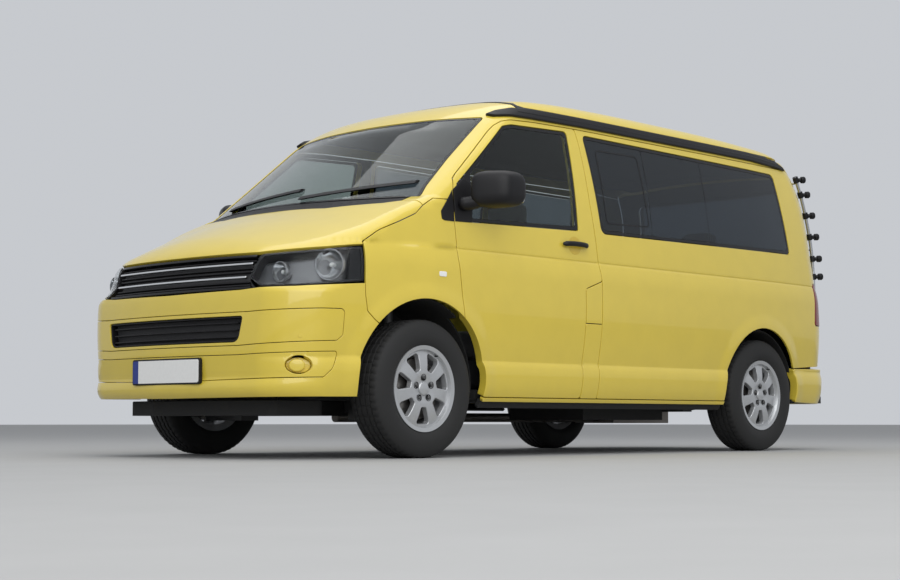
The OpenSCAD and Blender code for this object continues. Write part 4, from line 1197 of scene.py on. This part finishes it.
def build_grilles():
    loop = AROUND.lift(densify(rounded(closed_half(GRILLE_HALF), 0.012)))
    panel("grille_back", loop, TRIM, "grilles", gap=0.006, sink=0.034, depth=0.006)
    for word, z, reach in (("top", 0.976, 0.545), ("foot", 0.818, 0.555)):
        strip(f"grille_frame_{word}", [(-reach, z), (reach, z)], 0.012, GLOSS, depth=0.03, sink=0.003)
    for k, (z, reach) in enumerate(((0.957, 0.545), (0.920, 0.53), (0.903, 0.525), (0.852, 0.53),
                                    (0.836, 0.54))):
        strip(f"grille_bar_{k}", [(-reach, z), (reach, z)], 0.008, BLACK, sink=0.016, depth=0.016)
    for k, (z, reach) in enumerate(((0.938, 0.535), (0.872, 0.512))):
        strip(f"grille_strip_{k}", [(-reach, z), (reach, z)], 0.009, CHROME, sink=0.003, depth=0.014,
              hem=0.002)
    loop = nose_loop(LOW_GRILLE, LOW_GRILLE_CORNERS)
    panel("low_grille_back", loop, TRIM, gap=0.004, sink=0.040, depth=0.006)
    panel("low_grille_frame", loop, BLACK, (), [inset(loop, AROUND, 0.010)], gap=0.003, depth=0.036,
          sink=0.005)
    for k in range(3):
        z = 0.583 + 0.034 * k
        strip(f"low_grille_bar_{k}", [(-0.49, z), (0.49, z)], 0.007, BLACK, sink=0.012, depth=0.022)


def lamp_loop(side):
    return mirrored(AROUND.lift(densify(rounded(LAMP, LAMP_CORNERS))), side)


def build_headlamps():
    for side, word in SIDES:
        loop = lamp_loop(side)
        nodes = ("headlamp_lenses", "headlamp_housings") if side > 0 else ()
        panel(f"headlamp_lens_{word}", loop, LENS, nodes, gap=0.004, depth=0.003, hem=0.001, sink=0.001)
        panel(f"headlamp_back_{word}", loop, REFLECTOR, gap=0.012, sink=0.060, depth=0.006)
        panel(f"headlamp_rim_{word}", loop, BLACK, (), [inset(loop, AROUND, 0.015)], slot="gloss_black",
              gap=0.003, hem=0.001, sink=0.008, depth=0.055)
        dark = [(1.130, 1.015), (LAMP_DARK_U + 0.01, 1.010), (LAMP_DARK_U - 0.01, 0.858), (1.130, 0.862)]
        panel(f"headlamp_end_{word}", mirrored(AROUND.lift(densify(dark)), side), GLOSS, gap=0.002,
              sink=0.012, depth=0.03)
        for name, u, z, r in (("main", 0.935, 0.928, 0.072), ("inner", 0.69, 0.892, 0.048)):
            at = mirrored(AROUND.lift(np.array([(u, z)])), side)[0]
            aim = np.array((0.94, 0.34 * side * (u > 0.8), 0.0))
            at = at - np.array((0.050, 0.012 * side, 0.0))
            bowl = [(r, 0.034), (r * 0.9, 0.012), (r * 0.6, -0.010), (r * 0.2, -0.020), (0.0, -0.022),
                    (0.0, -0.026), (r * 0.7, -0.012), (r * 1.04, 0.012), (r * 1.06, 0.034)]
            revolve(f"headlamp_{name}_bowl_{word}", "van_body", bowl, at, aim, LAMP_CHROME)
            bulb = [(0.0, -0.022), (0.010, -0.022), (0.012, 0.0), (0.010, 0.014), (0.0, 0.018)]
            revolve(f"headlamp_{name}_bulb_{word}", "van_body", bulb, at, aim, PLATE, turns=20)


def build_bumper_inserts():
    for side, word in SIDES:
        panel(f"fog_bowl_{word}", fog_ring(side), PAINT, gap=0.001, sink=0.028, depth=0.006)
        dome = mirrored(AROUND.lift(ring(FOG_AT[0] - 0.008, FOG_AT[1] - 0.002, FOG_R * 0.76, stretch=1.15)),
                        side)
        panel(f"fog_blank_{word}", dome, PAINT, gap=0.001, sink=0.006, depth=0.024, hem=0.008)
        plug = mirrored(AROUND.lift(ring(0.806, 0.584, 0.010, 20)), side)
        panel(f"bumper_plug_{word}", plug, PAINT, gap=0.0, sink=-0.0016, depth=0.003, hem=0.001)


def build_plate():
    low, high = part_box("front_plate")
    wide, tall = PLATE_HALF
    shape = Plane((high.x, 0, (low.z + high.z) / 2), (0, 1, 0), (0, 0, 1))
    back = box(-wide - PLATE_FRAME, wide + PLATE_FRAME, -tall - PLATE_FRAME, tall + PLATE_FRAME)
    panel("plate_holder", shape.lift(rounded(back, 0.012)), BLACK, "front_plate", shape=shape, gap=0,
          sink=0.004, depth=0.016, hem=0.002)
    faces = (
        ("face", box(PLATE_BAND - wide + 0.001, wide, -tall, tall), (0.01, 0, 0, 0.01), PLATE),
        ("band", box(-wide, PLATE_BAND - wide, -tall, tall), (0, 0.01, 0.01, 0), BLUE),
    )
    for word, corners, radii, surface in faces:
        loop = shape.lift(rounded(corners, radii))
        panel(f"plate_{word}", loop, surface, shape=shape, gap=0, depth=0.004, hem=0.0008)


# Side details
DOOR_PANE = [(1.205, 1.220), (1.192, 1.452), (0.872, 1.729), (0.803, 1.742), (0.371, 1.757), (0.380, 1.245)]
PANE_CORNERS = (0.008, 0.015, 0.03, 0.03, 0.02, 0.01)
HANDLE_AT = (0.402, 1.139)


def build_side_details():
    for side, word in SIDES:
        door = f"door_{word}"
        window = side_loop(WINDOW_DOOR, DOOR_CORNERS, side)
        pane = side_loop(DOOR_PANE, PANE_CORNERS, side)
        glazing(f"door_glass_{word}", window, f"door_glass_{word}", SCREEN_GLASS, [pane], body=door)
        sail = [(1.340, 1.356), (1.433, 1.238), (1.429, 1.196), (1.406, 1.190), (1.3415, 1.190)]
        panel(f"sail_{word}", side_loop(sail, (0, 0.01, 0.012, 0.006, 0), side), BLACK, gap=0.002,
              sink=-0.004, depth=0.01)
        sail = [(1.334, 1.360), (1.337, 1.250), (1.337, 1.190), (1.215, 1.193), (1.205, 1.25), (1.20, 1.40),
                (1.250, 1.428)]
        panel(f"sail_door_{word}", side_loop(sail, 0.004, side), BLACK, body=door, gap=0.004, sink=-0.004,
              depth=0.010)
        build_handle(f"handle_{word}", door, HANDLE_AT[0], HANDLE_AT[1], side)
        lamp = box(1.420, 1.470, 0.904, 0.930)
        panel(f"repeater_{word}", side_loop(lamp, 0.006, side), PLATE, slot="lamp_lens", gap=0, sink=-0.003,
              depth=0.008, hem=0.002)
        build_mirror(side, word)
        build_rail(side, word)
    build_handle("handle_slide", "van_body", -0.80, HANDLE_AT[1], -1)


def build_handle(name, body, x, z, side):
    """A grip bar in front of a round dish: a flat disc whose darker yellow is painted shade for its hollow.
    """
    dish = side_points(ring(x - 0.006, z - 0.002, 0.050, 40, 1.1), side)
    panel(f"{name}_dish", dish, PAINTED_SHADE_DISH, body=body, gap=0, sink=-0.0006, depth=0.004, hem=0.0008)
    t = np.linspace(-1, 1, 15)
    run = side_points(np.column_stack((x - 0.103 * t, z + 0.004 * (1 - t * t))), side)
    run[:, 1] += side * (0.010 + 0.020 * (1 - t**4))
    tube(f"{name}_bar", body, run, 0.014, BLACK, flat=0.72)


MIRROR_LOW, MIRROR_HIGH = (1.080, 0.968, 1.266), (1.250, 1.150, 1.456)
MIRROR_SWEEP = 0.64


def build_mirror(side, word):
    body = f"door_{word}"

    def corners(low, high):
        y_low, y_high = sorted((low[1] * side, high[1] * side))
        return (low[0], y_low, low[2]), (high[0], y_high, high[2])

    def swept(q):
        out = side * q[1]
        front = np.clip(q[0], 0, 1)
        return np.array((q[0] - MIRROR_SWEEP * out, q[1],
                         q[2] * (1 - 0.10 * front - 0.05 * out) + 0.03 * out))

    shell = corners(MIRROR_LOW, MIRROR_HIGH)
    blob(f"mirror_{word}_shell", body, *shell, BLACK, f"mirror_{word}", square=(4.5, 4.5, 3.6), taper=swept)
    low, high = np.array(MIRROR_LOW), np.array(MIRROR_HIGH)
    glass = corners(low + (-0.006, 0.022, 0.025), (low[0] + 0.02, high[1] - 0.022, high[2] - 0.03))

    def leaned(q):
        return np.array((q[0] - MIRROR_SWEEP * side * q[1] * 5.2, q[1], q[2]))

    blob(f"mirror_{word}_glass", body, *glass, CHROME, square=(6, 6, 6), taper=leaned)
    t = np.linspace(0, 1, 9)[:, None]
    foot, tip = np.array((1.292, HALF_W - 0.052, 1.286)), np.array((1.205, 1.012, 1.322))
    run = foot + (tip - foot) * t
    run[:, 2] -= 0.012 * np.sin(math.pi * t[:, 0])
    run[:, 1] *= side
    tube(f"mirror_{word}_arm", body, run, 0.036, BLACK, flat=1.2)


RAIL = [(0.930, 1.797), (0.850, 1.834), (0.765, 1.857), (0.580, 1.869), (0.20, 1.874), (-1.50, 1.872),
        (-1.80, 1.852), (-1.885, 1.822), (-1.915, 1.798), (-1.82, 1.806), (-1.50, 1.820), (0.20, 1.820),
        (0.62, 1.814), (0.79, 1.809)]
RAIL_LINE = [(0.74, 1.838), (0.20, 1.846), (-1.50, 1.845), (-1.82, 1.830)]


def build_rail(side, word):
    edge = side_loop(RAIL, 0.02, side)
    panel(f"roof_rail_{word}", edge, BLACK, "roof_rails" if side > 0 else (), gap=0, sink=-0.016,
          depth=0.018, hem=0.006)
    line = np.array([(u_side(x), z) for x, z in RAIL_LINE])
    strip(f"roof_rail_line_{word}", line, 0.005, GLOSS, side, sink=-0.0168, depth=0.002, hem=0.0006)


# Rear carrier: tubes along the tailgate with rubber stoppers
CARRIER = [(-2.205, 1.800), (-2.262, 1.700), (-2.312, 1.590), (-2.352, 1.480), (-2.386, 1.360),
           (-2.408, 1.220), (-2.417, 1.080), (-2.418, 0.920)]
CARRIER_Y, CARRIER_R = 0.706, 0.011
STOPPER_Z = (1.785, 1.690, 1.555, 1.415, 1.270, 1.150)
STOPPER = [(0.0, -0.004), (0.013, -0.004), (0.013, 0.014), (0.022, 0.018), (0.023, 0.038), (0.018, 0.046),
           (0.0, 0.048)]
SLEEVE = [(CARRIER_R + 0.0005, -0.020), (0.018, -0.020), (0.019, 0.0), (0.018, 0.020),
          (CARRIER_R + 0.0005, 0.020)]


def build_carrier():
    line = np.array(CARRIER)
    place = spline(((z, x) for x, z in CARRIER))
    z = np.linspace(line[-1, 1], line[0, 1], 40)
    for side, word in SIDES:
        run = np.column_stack((place(z), np.full(40, side * CARRIER_Y), z))
        tube(f"carrier_upright_{word}", "tailgate", run, CARRIER_R, TUBE, "bike_rack" if side > 0 else (),
             up=(0, 1, 0))
        for k, at_z in enumerate(STOPPER_Z):
            at = np.array((float(place(at_z)), side * CARRIER_Y, at_z))
            slope = (float(place(at_z + 0.02)) - float(place(at_z - 0.02))) / 0.04
            revolve(f"carrier_sleeve_{word}_{k}", "tailgate", SLEEVE, at, (slope, 0, 1), BLACK, turns=28)
            revolve(f"carrier_stopper_{word}_{k}", "tailgate", STOPPER, at + (-0.016, side * 0.010, 0),
                    (-0.8, side * 0.6, 0.05), BLACK, turns=28)
    for k, at_z in enumerate((1.765, 1.330, 0.985)):
        y = np.linspace(-CARRIER_Y, CARRIER_Y, 24)
        bow = 0.012 * (y / CARRIER_Y) ** 2
        run = np.column_stack((place(np.full(24, at_z)) - 0.012 + bow, y, np.full(24, at_z)))
        tube(f"carrier_cross_{k}", "tailgate", run, CARRIER_R, TUBE)
    for k, y in enumerate((-0.36, 0.36)):
        for j, at_z in enumerate((1.765, 0.985)):
            x = float(place(at_z))
            back = TAIL.lift(np.array([(y, at_z)]))[0]
            run = np.linspace(back - (0.002, 0, 0), (x - 0.010, y, at_z), 6)
            tube(f"carrier_stay_{k}_{j}", "tailgate", run, 0.009, BLACK)


# Tailgate details
REAR_PLATE = (0.0, 0.835)


def build_gate_details():
    def loop(y, z, half_y, half_z, radius):
        corners = box(y - half_y, y + half_y, z - half_z, z + half_z)
        return TAIL.lift(densify(rounded(corners, radius)))

    panel("gate_plate_back", loop(*REAR_PLATE, 0.272, 0.068, 0.02), BLACK, body="tailgate", shape=TAIL,
          gap=0, sink=-0.004, depth=0.006)
    panel("gate_plate", loop(*REAR_PLATE, *PLATE_HALF, 0.010), PLATE, body="tailgate", shape=TAIL, gap=0,
          sink=-0.0065, depth=0.004, hem=0.001)
    panel("gate_grip", loop(0.0, 0.955, 0.19, 0.022, 0.018), BLACK, body="tailgate", shape=TAIL, gap=0,
          sink=-0.016, depth=0.018, hem=0.006)
    t = np.linspace(0, 1, 16)
    arm = TAIL.lift(np.column_stack((0.02 + 0.42 * t, 1.205 + 0.10 * t)))
    arm[:, 0] -= 0.016
    tube("gate_wiper_arm", "tailgate", arm, 0.008, BLACK, flat=0.7)
    post = TAIL.lift(np.array([(0.02, 1.200)]))[0]
    knob = [(0.0, -0.002), (0.026, -0.002), (0.026, 0.012), (0.018, 0.022), (0.0, 0.024)]
    revolve("gate_wiper_post", "tailgate", knob, post, (-1, 0, 0.2), BLACK, turns=32)


# Seats: padded cushions on plain bases


def cushion(name, low, high, pinch=0.06):
    """A crowned pad whose sides pull in between its corners."""
    def shape(q):
        draw = 1 - pinch * (1 - np.abs(q[[1, 2, 0]]) ** 2)
        return q * np.clip(draw, 0.8, 1)

    piece = blob(name, "van_body", low, high, CLOTH, square=(4.5, 4.5, 3.6), taper=shape)
    return piece


def build_seats():
    front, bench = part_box("front_seats"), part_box("rear_bench")
    places = [("driver", front, -0.765, -0.265), ("mate", front, 0.265, 0.765),
              ("bench", bench, -0.585, 0.585)]
    for word, (low, high), y0, y1 in places:
        node = {"driver": "front_seats", "bench": "rear_bench"}.get(word, ())
        base = (low.x + 0.06, y0 + 0.04, low.z), (high.x - 0.03, y1 - 0.04, low.z + 0.17)
        blob(f"seat_{word}_base", "van_body", *base, DASH, node, square=(8, 8, 6))
        cushion(f"seat_{word}_cushion", (low.x + 0.10, y0, low.z + 0.16), (high.x, y1, low.z + 0.32))
        cushion(f"seat_{word}_back", (low.x, y0 + 0.015, low.z + 0.27),
                (low.x + 0.17, y1 - 0.015, high.z - 0.20))
        heads = ((y0 + y1) / 2,) if word != "bench" else (-0.40, 0.0, 0.40)
        for k, y in enumerate(heads):
            cushion(f"seat_{word}_head_{k}", (low.x + 0.025, y - 0.13, high.z - 0.17),
                    (low.x + 0.115, y + 0.13, high.z))
            for j in (-0.06, 0.06):
                run = np.linspace((low.x + 0.075, y + j, high.z - 0.26),
                                  (low.x + 0.070, y + j, high.z - 0.10), 6)
                tube(f"seat_{word}_stem_{k}_{'left' if j > 0 else 'right'}", "van_body", run, 0.006, CHROME,
                     up=(0, 1, 0))


# Wheels
TYRE_R = (TYRE_HIGH.z - TYRE_LOW.z) / 2
TYRE_W = TYRE_HIGH.y - TYRE_LOW.y
RIM_R = 0.2085
BOLTS, SPOKES = 5, 7
TREAD_STEPS = 240


def tread(k, profile):
    """Cross grooves in the tyre's shoulders and middle blocks."""
    r, w = profile[:, 0], np.abs(profile[:, 1])
    outer = (r > TYRE_R - 0.006) & (w > 0.045)
    inner = (r > TYRE_R - 0.004) & (w < 0.045)
    return -0.006 * outer * (k % 4 == 0) - 0.005 * inner * ((k + 2) % 6 == 0)


def tyre_profile():
    half = TYRE_W / 2
    right = [(RIM_R + 0.002, half - 0.022), (RIM_R + 0.012, half - 0.013), (0.245, half - 0.002),
             (0.272, half), (0.300, half - 0.003), (0.322, half - 0.010), (TYRE_R - 0.008, half - 0.020),
             (TYRE_R - 0.001, half - 0.032)]
    top = []
    for mid in (0.050, 0.018):
        top += [(TYRE_R, mid + 0.006), (TYRE_R - 0.008, mid + 0.004), (TYRE_R - 0.008, mid - 0.004),
                (TYRE_R, mid - 0.006)]
    outer = right + top
    inner = [(r, -w) for r, w in outer[::-1]]
    return outer + inner + [(RIM_R - 0.016, -half + 0.030), (RIM_R - 0.016, half - 0.030)]


def wheel_crown(r):
    return 0.004 - 0.016 * np.clip((r - 0.10) / 0.10, 0, 1) ** 2 - 0.006 * np.clip((0.075 - r) / 0.03, 0, 1)


BARREL = [(0.006, 0.012), (0.006, 0.020), (-0.012, 0.028), (-0.018, -0.03), (0.006, -0.018),
          (0.006, -0.010), (-0.030, -0.02), (-0.030, 0.045), (-0.014, 0.016)]
SPOKE_IN, SPOKE_OUT = 0.094, 0.183
OPENING_IN, OPENING_OUT = math.radians(10.0), math.radians(15.0)
FACE_IN, HUB_IN, DISC_IN = 0.022, 0.026, 0.085
BOLT_CIRCLE, FIRST_BOLT = 0.056, 0.3
VALVE_AT = math.radians(118)
BOLT_SEAT = [(0.0, -0.004), (0.0170, -0.004), (0.0170, 0.0076), (0.0145, 0.0080), (0.0135, 0.0030),
             (0.0, 0.0030)]
BOLT = [(0.0, -0.002), (0.0105, -0.002), (0.0105, 0.012), (0.0080, 0.015), (0.0, 0.015)]
CAP = [(0.0, -0.01), (0.034, -0.01), (0.034, 0.006), (0.030, 0.010), (0.015, 0.0125), (0.0, 0.013)]
BRAKE = [(0.06, 0.012), (0.150, 0.012), (0.152, 0.010), (0.152, -0.010), (0.150, -0.012), (0.06, -0.012)]
HUB = [(0.0, 0.03), (0.062, 0.03), (0.066, 0.020), (0.066, -0.05), (0.0, -0.05)]
VALVE = [(0.0, 0.0), (0.004, 0.0), (0.004, 0.018), (0.003, 0.020), (0.0, 0.020)]


def build_wheel(place, side):
    body = f"wheel_{place}"
    low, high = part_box(f"tyre_{place}")
    centre = np.array((low + high) / 2)
    axis = (0, side, 0)
    half = TYRE_W / 2

    def inward(distance, x=0.0, z=0.0):
        """A point on the wheel, at a distance in from the tyre's outer side."""
        return centre + (x, side * (half - distance), z)

    def turned(name, profile, at, surface, turns, replaces=(), shift=None):
        revolve(name, body, profile, at, axis, surface, replaces, turns, shift)

    turned(f"tyre_{place}_tread", tyre_profile(), centre, TYRE, TREAD_STEPS, f"tyre_{place}", tread)
    barrel = [(RIM_R + r, math.copysign(half, w) - w) for r, w in BARREL]
    turned(f"rim_{place}_barrel", barrel, centre, ALLOY, 96, f"rim_{place}")
    face = Dish(inward(FACE_IN), side, wheel_crown)
    holes = []
    for k in range(SPOKES):
        a = 2 * math.pi * (k + 0.5) / SPOKES + math.pi / 2
        corners = [(SPOKE_OUT, a - OPENING_OUT), (SPOKE_OUT, a + OPENING_OUT), (SPOKE_IN, a + OPENING_IN),
                   (SPOKE_IN, a - OPENING_IN)]
        flat = [(r * math.cos(t), r * math.sin(t)) for r, t in corners]
        holes.append(face.lift(rounded(flat, (0.014, 0.014, 0.010, 0.010))))
    edge = face.lift(ring(0, 0, RIM_R - 0.008, 96))
    panel(f"rim_{place}_spokes", edge, ALLOY, body=body, shape=face, holes=holes, gap=0, depth=0.030,
          hem=0.005, grid=0.012)
    for k in range(BOLTS):
        a = 2 * math.pi * k / BOLTS + FIRST_BOLT
        at = inward(HUB_IN, BOLT_CIRCLE * math.cos(a), BOLT_CIRCLE * math.sin(a))
        turned(f"rim_{place}_seat_{k}", BOLT_SEAT, at, BLACK, 24)
        turned(f"rim_{place}_bolt_{k}", BOLT, at, STEEL, 6)
    turned(f"rim_{place}_cap", CAP, inward(HUB_IN), ALLOY, 40)
    turned(f"brake_{place}_disc", BRAKE, inward(DISC_IN), DISC, 72)
    turned(f"brake_{place}_hub", HUB, inward(DISC_IN), STEEL, 40)
    reach = RIM_R - 0.024
    at = inward(HUB_IN, reach * math.cos(VALVE_AT), reach * math.sin(VALVE_AT))
    turned(f"rim_{place}_valve", VALVE, at, BLACK, 12)


for build in (build_doors, build_sills, build_left_side, build_right_side, build_wings, build_bonnet,
              build_upper, build_pop_top, build_windscreen, build_gate, build_rear_bumper, build_tail_lamps,
              build_front_bumper, build_undertray, build_grilles, build_headlamps, build_bumper_inserts,
              build_plate, build_side_details, build_carrier, build_gate_details, build_seats):
    build()
for end in ("front", "rear"):
    for side, word in SIDES:
        build_wheel(f"{end}_{word}", side)

# The nodes that stay as packed take the looks of their slots
NODE_LOOKS = {
    "floor_pan": UNDER, "wheel_liners": UNDER, "wipers": BLACK, "dashboard": DASH, "steering_wheel": BLACK,
    "engine": STEEL, "front_suspension": STEEL, "rear_suspension": STEEL,
    "exhaust": EXHAUST, "fuel_tank": UNDER, "knuckle_left": STEEL, "knuckle_right": STEEL,
}
for node, look in NODE_LOOKS.items():
    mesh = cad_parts[node].data
    mesh.materials.clear()
    mesh.materials.append(look)


# Stage: floor, light and camera
CAMERA_AT = (7.7127, 6.8774, 0.1808)
CAMERA_YAW, CAMERA_PITCH = -136.763, 4.340
CAMERA_LENS = 69.32


def build_stage():
    bpy.ops.mesh.primitive_plane_add(size=160)
    floor = bpy.context.object
    floor.name = "floor"
    floor.data.materials.append(material("floor", (0.37, 0.37, 0.366), 0.9, vary=0.02, scale=3))
    camera = bpy.data.objects.new("camera", bpy.data.cameras.new("camera"))
    bpy.context.collection.objects.link(camera)
    camera.location = CAMERA_AT
    camera.rotation_euler = (math.radians(90 + CAMERA_PITCH), 0, math.radians(CAMERA_YAW - 90))
    camera.data.lens = CAMERA_LENS
    camera.data.clip_end = 500
    bpy.context.scene.camera = camera
    world = bpy.data.worlds.new("sky")
    bpy.context.scene.world = world
    world.use_nodes = True
    world.node_tree.nodes["Background"].inputs["Color"].default_value = (0.92, 0.95, 1.0, 1)
    world.node_tree.nodes["Background"].inputs["Strength"].default_value = 0.62
    for name, at, size, power in (("key", (5.5, 7.5, 6.0), 10.0, 640), ("top", (0, 0, 8.0), 9.0, 300)):
        lamp = bpy.data.objects.new(name, bpy.data.lights.new(name, "AREA"))
        lamp.data.size = size
        lamp.data.energy = power
        lamp.location = at
        lamp.rotation_euler = (Vector((0, 0, 0.9)) - Vector(at)).to_track_quat("-Z", "Y").to_euler()
        bpy.context.collection.objects.link(lamp)
    bpy.context.scene.view_settings.view_transform = "Standard"


build_stage()
